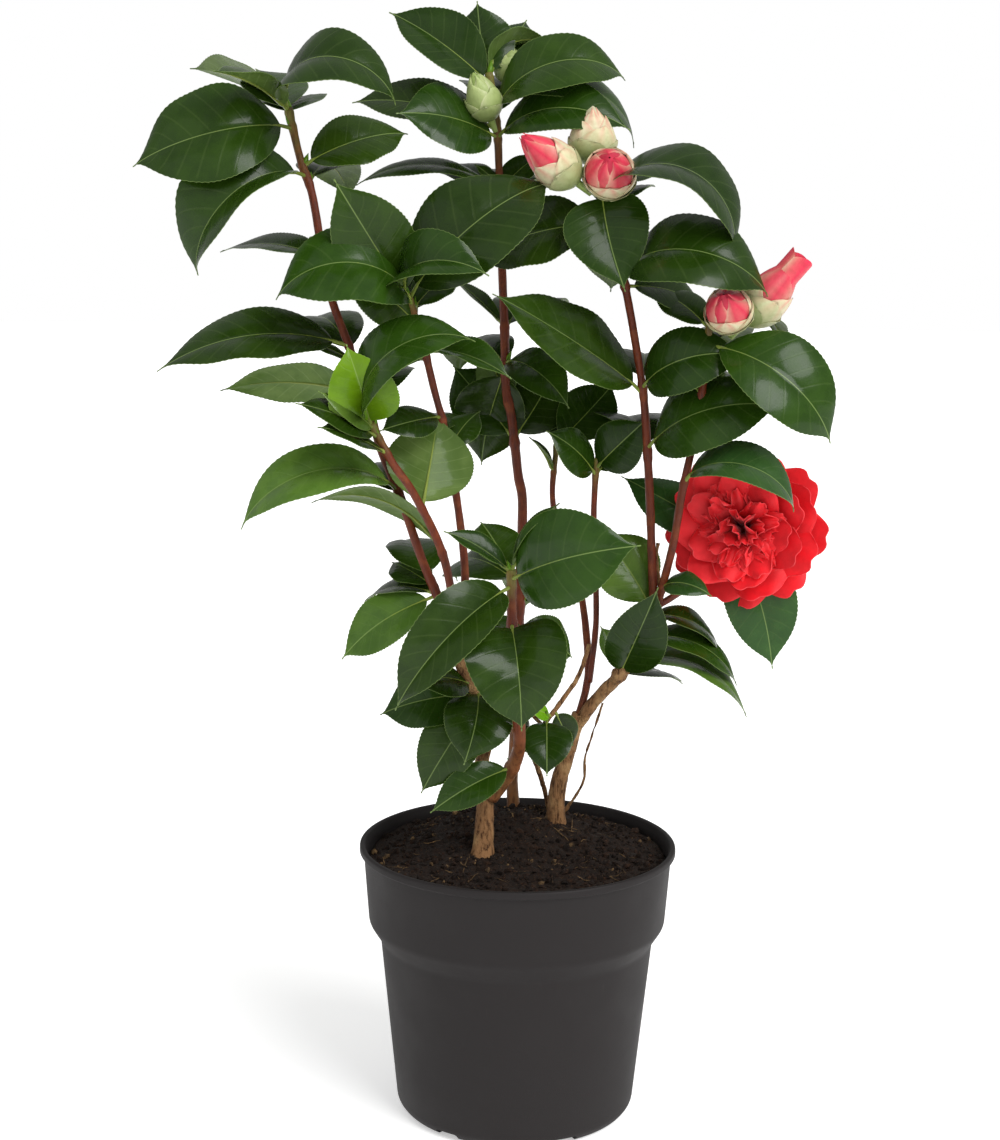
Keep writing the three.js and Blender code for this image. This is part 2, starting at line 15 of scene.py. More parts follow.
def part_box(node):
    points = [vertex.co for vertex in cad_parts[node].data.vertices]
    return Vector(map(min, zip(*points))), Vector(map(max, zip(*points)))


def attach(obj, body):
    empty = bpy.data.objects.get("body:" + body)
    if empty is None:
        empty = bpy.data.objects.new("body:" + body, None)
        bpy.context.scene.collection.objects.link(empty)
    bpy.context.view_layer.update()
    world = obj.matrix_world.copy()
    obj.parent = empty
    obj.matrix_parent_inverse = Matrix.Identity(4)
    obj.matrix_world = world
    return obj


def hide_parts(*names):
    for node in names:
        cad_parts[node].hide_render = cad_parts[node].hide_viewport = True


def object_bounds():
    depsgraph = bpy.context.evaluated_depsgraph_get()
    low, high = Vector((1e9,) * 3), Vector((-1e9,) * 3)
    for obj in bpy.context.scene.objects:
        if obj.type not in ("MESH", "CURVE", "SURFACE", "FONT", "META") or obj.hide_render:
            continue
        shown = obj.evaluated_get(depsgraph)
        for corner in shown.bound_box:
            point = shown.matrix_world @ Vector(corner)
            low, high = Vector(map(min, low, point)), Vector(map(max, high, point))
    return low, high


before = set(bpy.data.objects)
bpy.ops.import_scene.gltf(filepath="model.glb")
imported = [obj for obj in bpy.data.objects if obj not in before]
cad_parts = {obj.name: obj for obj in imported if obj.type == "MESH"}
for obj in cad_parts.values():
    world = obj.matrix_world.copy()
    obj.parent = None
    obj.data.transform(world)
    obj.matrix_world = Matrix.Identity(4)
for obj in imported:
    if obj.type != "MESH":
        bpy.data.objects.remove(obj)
CAD_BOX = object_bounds()
POT_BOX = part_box("pot")
BLOOM_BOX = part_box("bloom")

bl_info = {
    "name": "Camellia in a nursery pot",
    "version": (1, 0, 0),
    "blender": (4, 5, 0),
    "location": "3D View > Sidebar > Camellia",
    "description": "Grows a potted camellia: pot, soil, bark, leaves, buds and flower",
    "category": "Add Mesh",
}

MM = 0.001
SEED = 4127
CENTRE = Vector((
    (POT_BOX[0][0] + POT_BOX[1][0]) / 2,
    (POT_BOX[0][1] + POT_BOX[1][1]) / 2,
    POT_BOX[0][2],
))


def linear(code):
    """An sRGB hex colour as linear red, green and blue."""
    values = [int(code[i:i + 2], 16) / 255 for i in (1, 3, 5)]
    return tuple(v / 12.92 if v <= 0.04045 else ((v + 0.055) / 1.055) ** 2.4 for v in values)


# ---------------------------------------------------------------- layout of the plant

# Each stem, named like its CAD node where it has one: its path from foot to tip in millimetres, its radius
# at both ends, its bark and whether its foot flares.
STEMS = {
    "trunk_left": dict(
        path=[(-21, -8, 158), (-20, -4, 174), (-19, 0, 197)], foot=7.4, tip=6.0, bark="old", flare=True),
    "limb_left": dict(
        path=[(-19, 0, 188), (-22, -2, 212), (-18, -4, 234), (-19, -5, 250), (-33, -8, 270),
              (-38, -10, 292)], foot=5.6, tip=4.0, bark="old"),
    "leader_left": dict(
        path=[(-37, -9, 286), (-48, -14, 315), (-58, -18, 340), (-70, -20, 375), (-82, -20, 405),
              (-90, -20, 435), (-100, -20, 463), (-111, -20, 495), (-120, -16, 545), (-127, -12, 565),
              (-134, -10, 594)], foot=3.0, tip=1.9, bark="young"),
    "stem_young": dict(
        path=[(-36, -13, 286), (-44, -30, 340), (-60, -42, 378), (-73, -46, 398), (-86, -45, 421)],
        foot=2.8, tip=1.9, bark="young"),
    "stem_inner": dict(
        path=[(-35, -6, 282), (-33, 5, 315), (-34, 5, 340), (-39, 0, 378), (-45, -10, 413),
              (-51, -16, 437), (-57, -22, 462), (-66, -30, 492)], foot=2.8, tip=1.8, bark="young"),
    "stem_front": dict(
        path=[(-16, -3, 192), (-7, -10, 207), (-1, -20, 223), (0, -30, 238), (-2, -40, 267),
              (-5, -50, 303), (-6, -55, 340)], foot=5.0, tip=2.1, bark="young"),
    "stem_back": dict(
        path=[(-2, 65, 164), (-3, 63, 186), (-1, 58, 237), (0, 50, 303), (1, 45, 361), (-2, 42, 382),
              (-6, 40, 414), (-10, 40, 435), (-11, 40, 468), (-13, 40, 506), (-16, 40, 577),
              (-18, 40, 595), (-22, 40, 618)], foot=4.0, tip=1.8, bark="young", flare=True),
    "trunk_right": dict(
        path=[(24, 37, 162), (24, 36, 178), (27, 34, 198), (37, 30, 236)], foot=7.0, tip=5.2,
        bark="old", flare=True),
    "limb_right": dict(
        path=[(35, 31, 228), (49, 24, 249), (62, 15, 267), (74, 6, 298), (81, 2, 317)], foot=5.0,
        tip=3.8, bark="old"),
    "stem_right": dict(
        path=[(79, 2, 309), (77, 0, 337), (75, 0, 373), (71, 0, 424), (67, -3, 450), (58, -5, 495),
              (50, -5, 520), (41, -5, 556)], foot=2.9, tip=1.9, bark="young"),
    "stem_far": dict(
        path=[(81, 2, 310), (88, -14, 348), (92, -20, 380), (99, -20, 417), (104, -20, 457),
              (105, -20, 478)], foot=2.7, tip=1.7, bark="young"),
    "stem_bloom": dict(
        path=[(80, 3, 308), (100, 18, 318), (118, 34, 332), (134, 34, 350)], foot=2.2, tip=2.2,
        bark="young"),
    "stem_pair_left": dict(
        path=[(35, 31, 228), (41, 31, 252), (42, 31, 270), (37, 34, 310), (27, 35, 337), (19, 35, 367),
              (21, 35, 402)], foot=2.8, tip=1.4, bark="young"),
    "stem_pair_right": dict(
        path=[(43, 30, 256), (46, 24, 295), (44, 17, 340), (43, 15, 362), (44, 15, 395)], foot=2.1,
        tip=1.5, bark="young"),
    "twig_cross": dict(
        path=[(21, 60, 164), (13, 40, 197), (6, 20, 220), (15, 10, 234), (25, 10, 248), (36, 15, 264),
              (42, 18, 282)], foot=2.1, tip=1.6, bark="old"),
    "twig_side": dict(path=[(15, 10, 233), (7, 9, 241), (1, 8, 246)], foot=1.6, tip=1.0, bark="old"),
    "twig_dead": dict(
        path=[(30, 60, 164), (41, 55, 185), (42, 50, 203), (46, 45, 219), (52, 42, 240)], foot=1.4,
        tip=0.9, bark="old"),
    "twig_stub": dict(path=[(83, 0, 318), (80, 6, 334), (81, 7, 346)], foot=1.9, tip=1.4, bark="old"),
}

# Each leaf: the height of its node on the stem, how far its tip lies to the right, to the back and up
# from the node, how far the blade arches over its length and how far its face is turned from the sky to
# the front (degrees), its width for its length, the fold of its halves (degrees), its green and its
# shoulder, which is lower the nearer the blade is widest to its foot.
FOLIAGE = {
    "left_top": ("leader_left", [(583, -88, -15, -22, 95, 60, .68), (592, -62, 45, 26, 40, -30, .5),
        (592, -34, -58, 18, 30, 20, .45, 55), (592, -27, 70, 28, 30, 10, .55),
        (592, 61, -20, 3, 190, 40, .5), (590, -12, 82, 8, 50, 10, .55)]),
    "left_upper": ("leader_left", [(562, 58, 25, 20, 70, 50, .6),
        (556, -60, -15, -55, 145, 38, .54, 42), (552, 18, 74, -10, 60, 10, .55)]),
    "left_middle": ("leader_left", [(512, -62, 30, 2, 40, 20, .5), (508, 22, 74, 4, 60, 0, .55)]),
    "left_waist": ("leader_left", [(462, -106, -20, -14, 65, 35, .46), (452, -28, -5, 12, 20, 30, .35),
        (454, -35, 72, 6, 60, 0, .55)]),
    "left_lower": ("leader_left", [(432, -84, 0, 4, 70, -50, .42, 20, 1), (424, 5, 78, 8, 60, 0, .55)]),
    "left_low": ("leader_left", [(378, -88, -20, -20, 130, 32, .42, 26, 1),
        (374, -32, 68, 0, 60, 0, .55)]),
    "left_foot": ("leader_left", [(318, -56, 5, -40, 45, 45, .55, 20, 1),
        (318, -46, 30, -14, 75, 20, .45), (322, -26, 35, 8, 20, 40, .6), (326, -20, 62, 12, 50, 0, .55)]),
    "young": ("stem_young", [(419, -13, -14, 46, 70, 90, .88, 30, 2, .66),
        (418, 57, -15, 50, 160, 30, .5), (412, -43, -32, 22, 20, 40, .5),
        (404, -36, -32, 18, 20, 30, .5), (416, -30, -20, 24, 40, 40, .5, 20, 1)]),
    "young_side": ("stem_young", [(345, -74, -10, 30, 95, -30, .34, 20, 1)]),
    "notched": ("stem_young", [(372, 8, 28, 52, 30, -75, .95, 20, 1)]),
    "inner_top": ("stem_inner", [(489, -40, -25, 66, 25, 90, .62), (489, 45, -35, 15, 155, 50, .55, 50),
        (488, 80, 25, 66, 95, 50, .58), (484, -74, -20, 4, 150, 45, .62),
        (476, -42, -30, 28, 35, 60, .62), (482, 24, 30, 22, 30, 40, .6), (478, 6, 72, 20, 60, 10, .55)]),
    "inner_middle": ("stem_inner", [(458, 49, -30, -12, 60, 30, .5, 50), (455, -30, 30, -14, 50, 40, .6)]),
    "inner_low": ("stem_inner", [(420, -34, -30, -5, 40, 50, .6), (402, 18, 25, 20, 30, 50, .6),
        (410, -20, 60, -4, 60, 10, .55)]),
    "front_top": ("stem_front", [(334, 70, -36, 26, 70, 70, .72, 26),
        (338, -38, -5, 24, 30, 30, .5, 50), (338, 26, -15, 42, 30, 20, .35, 55),
        (338, -18, 45, 22, 30, 30, .6), (330, -64, -26, -66, 95, 55, .43, 42, 0, .7)]),
    "front_heart": ("stem_front", [(308, 6, -26, -56, 100, 90, 1.0, 36, 0, .56),
        (305, 35, 20, -20, 60, 60, .7), (305, -20, 30, -30, 60, 50, .6),
        (214, -48, -16, -24, 55, 60, .5, 34)]),
    "back_top": ("stem_back", [(610, -60, 8, 42, 45, 55, .62, 40), (614, -8, 18, 46, -30, 90, .85),
        (616, 22, 45, 36, 20, 50, .45), (614, 38, 10, 20, 140, -30, .5, 20, 1),
        (594, 76, 2, 20, 140, 44, .5), (580, 76, -30, 4, 100, 50, .5), (600, 84, 20, -24, 130, 30, .42),
        (580, -58, -35, 12, 40, 52, .82), (584, -86, 10, 16, 60, 42, .46),
        (590, -10, 82, 12, 90, 0, .55), (602, 30, 74, 10, 70, 0, .5)]),
    "back_upper": ("stem_back", [(552, -15, 5, 13, 30, 30, .5), (550, -84, -10, 2, 70, 20, .36),
        (552, -40, 40, 12, 30, 30, .5), (550, 25, 20, 22, 30, 40, .6), (546, 20, 78, 0, 70, 0, .55)]),
    "back_middle": ("stem_back", [(470, -30, 40, 26, 20, 20, .25, 50), (466, 30, 76, -4, 70, 0, .55)]),
    "back_waist": ("stem_back", [(448, 38, -25, -24, 120, 40, .6), (446, -14, 24, -62, 30, 62, .72),
        (444, -30, 74, -10, 70, 0, .55)]),
    "back_lower": ("stem_back", [(402, -38, 30, 42, 20, 70, .75), (402, 26, 20, 46, 20, 75, .75),
        (425, -17, 20, 34, 30, -70, .7, 20, 1), (400, -10, 82, -14, 70, 0, .55)]),
    "back_foot": ("stem_back", [(312, -40, 60, -8, 60, 10, .55), (316, 45, 60, -12, 60, 10, .55),
        (300, 30, 14, 34, 40, 66, .7), (296, -22, 12, -40, 50, 64, .66), (308, 4, 74, -24, 60, 10, .5)]),
    "right_top": ("stem_right", [(545, 72, -20, -32, 175, 25, .46), (552, 40, 40, 10, 30, 30, .34),
        (530, -76, 20, -22, 60, 50, .66), (538, 20, 76, 8, 70, 0, .55)]),
    "right_heart": ("stem_right", [(550, 14, -24, -56, 40, 90, .88, 24, 0, .62),
        (500, 80, -25, -8, 150, 45, .56), (497, 50, 20, -16, 50, 40, .6), (496, -4, 80, -6, 70, 0, .55)]),
    "right_middle": ("stem_right", [(434, -88, -20, 58, 30, 35, .62), (438, 58, -20, 20, 115, 60, .6),
        (440, 6, 80, 2, 70, 0, .55)]),
    "right_lower": ("stem_right", [(402, 76, -30, 28, 90, 50, .6), (398, -18, 78, -8, 70, 0, .55)]),
    "far_top": ("stem_far", [(464, 70, -10, -54, 105, 50, .58), (474, 47, 35, -16, 125, 20, .45),
        (474, -30, 30, 20, 30, 40, .6), (462, 24, 70, -6, 80, 0, .55)]),
    "far_middle": ("stem_far", [(437, -25, 40, 25, 30, 40, .7), (428, 30, 68, -4, 80, 0, .55)]),
    "far_lower": ("stem_far", [(385, 62, -12, -14, 155, 30, .46, 20, 3),
        (320, 28, -15, -2, 110, 40, .6, 20, 3)]),
    "bloom": ("stem_bloom", [(344, -68, 15, 36, 30, 50, .5, 20, 3),
        (346, 24, -5, -80, 40, 85, .58, 20, 3), (346, 14, 20, -72, 30, 60, .4, 20, 3),
        (344, 8, 68, -14, 70, 0, .55)]),
    "pair_left": ("stem_pair_left", [(400, 35, 22, 36, 20, 60, .72),
        (384, -15, -10, 22, 30, 20, .35, 50), (398, 2, 66, 10, 60, 0, .55)]),
    "pair_right": ("stem_pair_right", [(384, -30, -20, 28, 40, 50, .7), (388, 28, -12, 30, 30, 60, .85),
        (384, 30, 15, 28, 40, 40, .65)]),
    "limb_right": ("limb_right", [(302, 46, 20, -28, 85, 22, .5), (288, 60, 0, -28, 95, 20, .46),
        (308, -32, 12, 44, 30, 64, .82, 20, 1)]),
    "limb_right_low": ("limb_right", [(272, 72, -10, -30, 95, 14, .4, 20, 1),
        (263, 20, -32, 60, 35, 90, .58, 30), (268, -14, 8, 24, 20, 60, .6, 20, 1),
        (264, 44, 58, -18, 60, 0, .55)]),
    "limb_left": ("limb_left", [(262, -36, -30, 8, 35, 40, .7), (256, -60, 4, -14, 60, 52, .72),
        (254, -36, -12, -56, 70, 62, .56), (258, -8, -32, -36, 90, 85, .85),
        (252, -30, 56, -14, 60, 0, .55)]),
    "twig": ("twig_cross", [(224, -12, -20, 14, 30, 60, .7), (236, 0, -30, -26, 90, 90, .75),
        (230, -14, 0, -14, 40, 60, .7), (242, 12, 10, -24, 40, 60, .7),
        (240, -14, -10, 8, 30, 50, .7, 20, 2)]),
}
GREENS = ("mature", "pale", "new", "blue")

# Each bud: its base and tip in millimetres, its width and its kind.
BUDS = {
    "bud_green": ((-20, 36, 590), (-31, 26, 617), 19, "green"),
    "bud_hidden": ((-12, 50, 612), (-8, 54, 634), 15, "green"),
    "bud_cluster_left": ((30, -6, 554), (-3, -16, 580), 24, "pink"),
    "bud_cluster_front": ((48, -2, 554), (46, -32, 568), 27, "pink"),
    "bud_cluster_back": ((38, 6, 564), (38, 10, 598), 25, "cream"),
    "bud_far_front": ((118, -20, 478), (110, -44, 494), 25, "pink"),
    "bud_far_tip": ((124, -16, 476), (154, -20, 512), 25, "opening"),
}


# ---------------------------------------------------------------- settings

def colour_setting(name, code, description):
    return bpy.props.FloatVectorProperty(
        name=name, description=description, subtype="COLOR", size=3, min=0, max=1, default=linear(code))


def length_setting(name, default, description):
    return bpy.props.FloatProperty(
        name=name, description=description, subtype="DISTANCE", unit="LENGTH", default=default)


class CamelliaPotSettings(bpy.types.PropertyGroup):
    rim_radius: length_setting("Rim radius", (POT_BOX[1][0] - POT_BOX[0][0]) / 2, "Outside radius of the rim")
    height: length_setting("Height", POT_BOX[1][2] - POT_BOX[0][2], "Height of the pot")
    foot_radius: length_setting("Foot radius", 0.0715, "Outside radius where the wall meets the floor")
    wall: length_setting("Wall", 0.002, "Thickness of the moulded wall")
    plastic: colour_setting("Plastic", "#1C1818", "Colour of the recycled polypropylene")
    peat: colour_setting("Peat", "#1E1007", "Colour of the moist potting mix")
    fibre: colour_setting("Fibre", "#94754F", "Colour of the dry bark fibres on the soil")


class CamelliaPlantSettings(bpy.types.PropertyGroup):
    old_bark: colour_setting("Old bark", "#8C6540", "Colour of the cracked bark low on the plant")
    young_bark: colour_setting("Young bark", "#64270F", "Colour of last year's stems")
    mature: colour_setting("Mature leaf", "#1E3407", "Upper face of a grown leaf")
    pale: colour_setting("Pale leaf", "#3E5A20", "Upper face of a leaf in its first summer")
    new: colour_setting("New leaf", "#5A8510", "Upper face of a leaf just unfolded")
    blue: colour_setting("Shaded leaf", "#28471F", "Upper face of a leaf grown in shade")
    underside: colour_setting("Underside", "#50682A", "Lower face of a leaf")
    leaf_thickness: length_setting("Leaf thickness", 0.0005, "Thickness of the blade at its midrib")


class CamelliaBloomSettings(bpy.types.PropertyGroup):
    petal: colour_setting("Petal", "#F21825", "Colour of the petals")
    # Painted shade: the petals are drawn in this darker red towards their foot and in the inner rows, where
    # shade falls deep in the flower.
    petal_painted_shade: colour_setting("Petal foot", "#8C0812", "Colour deep between the petals")
    petal_edge: colour_setting("Petal edge", "#FF6A70", "Pale edge of the petals")
    scale_green: colour_setting("Bud scale", "#8FA556", "Colour of the green bud scales")
    scale_cream: colour_setting("Cream scale", "#DCD9B4", "Colour of the cream bud petals")
    petaloids: bpy.props.IntProperty(
        name="Inner petals", description="Number of small curled petals in the middle", default=120, min=10)


# ---------------------------------------------------------------- mesh helpers

def unit(vector):
    return vector / np.linalg.norm(vector)


def closed_sheet(top, thickness):
    """A grid of points as a thin closed sheet: vertices, faces and the bake place of every corner."""
    rows, columns = top.shape[:2]
    along, across = np.gradient(top, axis=0), np.gradient(top, axis=1)
    normal = np.cross(along, across)
    normal /= np.linalg.norm(normal, axis=2, keepdims=True) + 1e-12
    bottom = top - normal * thickness[..., None]
    index = np.arange(rows * columns).reshape(rows, columns)
    quads = np.stack([index[:-1, :-1], index[1:, :-1], index[1:, 1:], index[:-1, 1:]], -1).reshape(-1, 4)
    under = quads[:, ::-1] + rows * columns
    loop = np.concatenate([index[:, 0], index[-1, 1:], index[-2::-1, -1], index[0, -2:0:-1]])
    ahead = np.roll(loop, -1)
    rim = np.stack([ahead, loop, loop + rows * columns, ahead + rows * columns], -1)
    u, v = np.meshgrid(np.linspace(0, 1, rows), np.linspace(0, 1, columns), indexing="ij")
    flat = np.stack([u, v], -1).reshape(-1, 2)
    upper_place = flat[quads] * (1, 0.44)
    under_place = flat[quads[:, ::-1]] * (1, 0.44) + (0, 0.46)
    step = np.arange(len(loop)) / len(loop)
    wide = 0.9 / len(loop)
    rim_place = np.stack([
        np.stack([step + wide, np.full_like(step, 0.92)], -1), np.stack([step, np.full_like(step, 0.92)], -1),
        np.stack([step, np.full_like(step, 0.95)], -1), np.stack([step + wide, np.full_like(step, 0.95)], -1),
    ], 1)
    return (np.concatenate([top.reshape(-1, 3), bottom.reshape(-1, 3)]), np.concatenate([quads, under, rim]),
            np.concatenate([upper_place, under_place, rim_place]))


def tube(centres, radii, sides, place=(0, 0.9)):
    """A closed tube along a line of points, for petioles, small buds and fibres."""
    centres = np.asarray(centres, float)
    tangent = np.gradient(centres, axis=0)
    tangent /= np.linalg.norm(tangent, axis=1, keepdims=True) + 1e-12
    side = np.cross(tangent[0], (0, 0, 1) if abs(tangent[0][2]) < 0.9 else (1, 0, 0))
    rings = []
    angles = np.linspace(0, 2 * np.pi, sides, endpoint=False)
    for centre, way, radius in zip(centres, tangent, radii):
        side = unit(side - way * (side @ way))
        lift = np.cross(way, side)
        rings.append(centre + radius * (np.cos(angles)[:, None] * side + np.sin(angles)[:, None] * lift))
    count = len(rings)
    index = np.arange(count * sides).reshape(count, sides)
    ahead = np.roll(index, -1, axis=1)
    quads = np.stack([index[:-1], ahead[:-1], ahead[1:], index[1:]], -1).reshape(-1, 4)
    rows, columns = np.meshgrid(np.arange(count - 1), np.arange(sides), indexing="ij")
    low, high = place
    corners = []
    for row_step, column_step in ((0, 0), (0, 1), (1, 1), (1, 0)):
        along = (rows + row_step) / (count - 1)
        around = low + (high - low) * (columns + column_step) / sides
        corners.append(np.stack([along, around], -1).reshape(-1, 2))
    return np.concatenate(rings), quads, np.stack(corners, 1)


def set_attribute(mesh, name, kind, values):
    """A named value on every vertex: a colour with its alpha or a vector."""
    made = mesh.attributes.new(name, kind, "POINT")
    key = "color" if kind == "FLOAT_COLOR" else "vector"
    made.data.foreach_set(key, np.asarray(values, np.float32).ravel())


def new_object(name, mesh):
    """A mesh in the scene, with smooth shading."""
    mesh.polygons.foreach_set("use_smooth", np.ones(len(mesh.polygons), bool))
    made = bpy.data.objects.new(name, mesh)
    bpy.context.scene.collection.objects.link(made)
    return made


def shaped_object(name, shape):
    """An object made from a bmesh, which is freed."""
    mesh = bpy.data.meshes.new(name)
    shape.to_mesh(mesh)
    shape.free()
    return new_object(name, mesh)


def finished_mesh(owner):
    """A new mesh with the object's modifiers or curve settings carried out."""
    return bpy.data.meshes.new_from_object(owner.evaluated_get(bpy.context.evaluated_depsgraph_get()))


class Spray:
    """Gathers small shapes into one mesh with their colours and their places on the bake map."""

    def __init__(self):
        self.parts = []

    def add(self, shape, tint, blade, cell=True):
        points, faces, place = shape
        tint = np.broadcast_to(np.asarray(tint, float), (len(points), 4))
        blade = np.broadcast_to(np.asarray(blade, float), (len(points), 3))
        self.parts.append((points, faces, place, tint, blade, cell))

    def piece(self, name, material, sharp=50):
        cells = sum(part[5] for part in self.parts)
        wide = math.ceil(math.sqrt(cells))
        high = math.ceil(cells / wide)
        cell = -1
        points, faces, places, tints, blades = [], [], [], [], []
        start = 0
        for part in self.parts:
            cell += part[5]
            corner = np.array([(cell % wide) / wide, (cell // wide) / high])
            scale = np.array([0.94 / wide, 0.96 / high])
            points.append(part[0])
            faces.append(part[1] + start)
            places.append(part[2] * scale + corner + (0.02 / wide, 0.02 / high))
            tints.append(part[3])
            blades.append(part[4])
            start += len(part[0])
        mesh = bpy.data.meshes.new(name)
        mesh.from_pydata(np.concatenate(points).tolist(), [], np.concatenate(faces).tolist())
        layer = mesh.uv_layers.new(name="OFBake")
        layer.uv.foreach_set("vector", np.concatenate(places).astype(np.float32).ravel())
        set_attribute(mesh, "tint", "FLOAT_COLOR", np.concatenate(tints))
        set_attribute(mesh, "blade", "FLOAT_VECTOR", np.concatenate(blades))
        mesh.materials.append(material)
        made = new_object(name, mesh)
        mesh.set_sharp_from_angle(angle=math.radians(sharp))
        mesh.update()
        return made


def show(piece, slot, *nodes):
    """Every piece of the plant rides on the one body; its slot is not used."""
    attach(piece, "root")
    if nodes:
        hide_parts(*nodes)


def place_of(point):
    """A point of the layout, in metres in the frame."""
    return np.array(CENTRE) + np.asarray(point, float) * MM


def smooth_path(points, step):
    """Evenly spaced points, `step` apart, on the smooth curve through the given ones."""
    points = np.asarray(points, float)
    padded = np.vstack([2 * points[0] - points[1], points, 2 * points[-1] - points[-2]])
    dense = []
    for a, b, c, d in zip(padded, padded[1:], padded[2:], padded[3:]):
        t = np.linspace(0, 1, 24, endpoint=False)[:, None]
        dense.append(0.5 * (2 * b + (c - a) * t + (2 * a - 5 * b + 4 * c - d) * t ** 2
                            + (3 * b - a - 3 * c + d) * t ** 3))
    dense = np.vstack([*dense, points[-1:]])
    length = np.concatenate([[0], np.cumsum(np.linalg.norm(np.diff(dense, axis=0), axis=1))])
    count = max(4, round(length[-1] / step) + 1)
    wanted = np.linspace(0, length[-1], count)
    return np.stack([np.interp(wanted, length, dense[:, k]) for k in range(3)], -1)


def node_on(stem, height):
    """The point of a stem's centre line at a height, in millimetres."""
    line = smooth_path(STEMS[stem]["path"], 2)
    nearest = int(np.argmin(np.abs(line[:, 2] - height)))
    return line[nearest]


# ---------------------------------------------------------------- materials

PLAIN_MIX = {"data_type": "RGBA"}

# Each kind of shader node: its type, its usual settings, the sockets that its inputs fill in turn and the
# output that is its result, or None for all of its outputs.
NODE_KINDS = {
    "attribute": ("ShaderNodeAttribute", {}, (), None),
    "coordinates": ("ShaderNodeTexCoord", {}, (), None),
    "split": ("ShaderNodeSeparateXYZ", {}, (0,), None),
    "mapping": ("ShaderNodeMapping", {}, ("Vector", "Scale"), 0),
    "noise": ("ShaderNodeTexNoise", {}, ("Vector", "Scale", "Detail", "Roughness"), 0),
    "ease": ("ShaderNodeMapRange", {"interpolation_type": "SMOOTHSTEP"}, (0, 3, 4, 1, 2), 0),
    "mix": ("ShaderNodeMix", PLAIN_MIX, (0, 6, 7), 2),
    "tone": ("ShaderNodeMix", PLAIN_MIX | {"blend_type": "MULTIPLY"}, (0, 6, 7), 2),
    "add": ("ShaderNodeMath", {"operation": "ADD"}, (0, 1), 0),
    "multiply": ("ShaderNodeMath", {"operation": "MULTIPLY"}, (0, 1), 0),
    "repeat": ("ShaderNodeMath", {"operation": "PINGPONG"}, (0, 1), 0),
    "bump": ("ShaderNodeBump", {}, ("Height", "Strength", "Distance"), 0),
    "surface": ("ShaderNodeBsdfPrincipled", {}, ("Base Color", "Roughness", "Normal"), 0),
    "output": ("ShaderNodeOutputMaterial", {}, ("Surface",), None),
}


def add_node(material, kind, *inputs, **settings):
    """One node; each input is a socket to link or a fixed value.  An "ease" takes the number, the values
    that it eases between and the stretch of the number over which it does."""
    name, usual, sockets, result = NODE_KINDS[kind]
    made = material.node_tree.nodes.new(name)
    for key, value in (usual | settings).items():
        setattr(made, key, value)
    for key, value in zip(sockets, inputs):
        if isinstance(value, bpy.types.NodeSocket):
            material.node_tree.links.new(value, made.inputs[key])
        else:
            made.inputs[key].default_value = value
    return made.outputs if result is None else made.outputs[result]


def new_material(name):
    """An empty material and the function that adds nodes to it."""
    material = bpy.data.materials.new(name)
    material.use_nodes = True
    material.node_tree.nodes.clear()
    return material, partial(add_node, material)


def finish_surface(material, colour, roughness, *normal, **fixed):
    """The surface shader: linked colour, roughness and relief, and fixed numbers on its own sockets."""
    shader = add_node(material, "surface", colour, roughness, *normal)
    for key, value in fixed.items():
        shader.node.inputs[key.replace("_", " ")].default_value = value
    add_node(material, "output", shader)
    return material


def hex_colour(code):
    return (*linear(code), 1.0)


def grain(node, scale, detail, roughness=0.55, stretch=None):
    """Noise on the object's own coordinates; the scale is in patterns per metre."""
    place = node("coordinates")["Object"]
    if stretch:
        place = node("mapping", place, stretch)
    return node("noise", place, scale, detail, roughness)


def leaf_material(settings):
    """Waxed camellia leaf: a thick clear cuticle over dark green, so a satin gloss; the midrib and the
    side veins are paler and sunk above, raised below; the underside is a matt yellow-green."""
    material, node = new_material("waxed_leaf")
    tint = node("attribute", attribute_name="tint")
    blade = node("attribute", attribute_name="blade")
    green, underside = tint["Color"], tint["Alpha"]
    phase, from_midrib, from_edge = node("split", blade["Vector"])
    mottle = grain(node, 70, 3)
    pores = grain(node, 900, 2)
    sunlit = node("tone", 1.0, green, (1.45, 1.35, 1.25, 1))
    vein_line = node("ease", node("repeat", phase, 0.5), 1, 0, 0.01, 0.09)
    inner = node("ease", from_midrib, 0, 1, 0.5, 2.0)
    outer = node("ease", from_edge, 0, 1, 0.8, 4.0)
    side_vein = node("multiply", node("multiply", vein_line, inner), outer)
    midrib = node("ease", from_midrib, 1, 0, 0.1, 0.48)
    edge = node("ease", from_edge, 1, 0, 0.1, 0.45)
    pale = node("mix", 0.5, green, hex_colour("#A9C273"))
    upper = node("mix", node("ease", mottle, 0, 1, 0.3, 0.7), green, sunlit)
    for line, share in ((side_vein, 0.05), (midrib, 0.65), (edge, 0.5)):
        upper = node("mix", node("multiply", line, share), upper, pale)
    lower = node("mix", 0.35, (*settings.underside, 1.0), green)
    lower = node("mix", node("ease", mottle, 0, 0.2, 0.35, 0.7), lower, hex_colour("#8CA15E"))
    lower = node("mix", node("multiply", side_vein, 0.1), lower, hex_colour("#A2B678"))
    colour = node("mix", underside, upper, lower)
    rough = node("add", node("ease", mottle, 0.22, 0.36, 0.3, 0.75), node("multiply", underside, 0.22))
    relief = node("add", node("multiply", side_vein, -0.2), node("multiply", pores, 0.18))
    relief = node("add", relief, node("multiply", mottle, 0.9))
    return finish_surface(material, colour, rough, node("bump", relief, 0.45, 0.0006), IOR=1.45,
                          Specular_IOR_Level=0.17, Coat_Weight=0.15, Coat_Roughness=0.1)


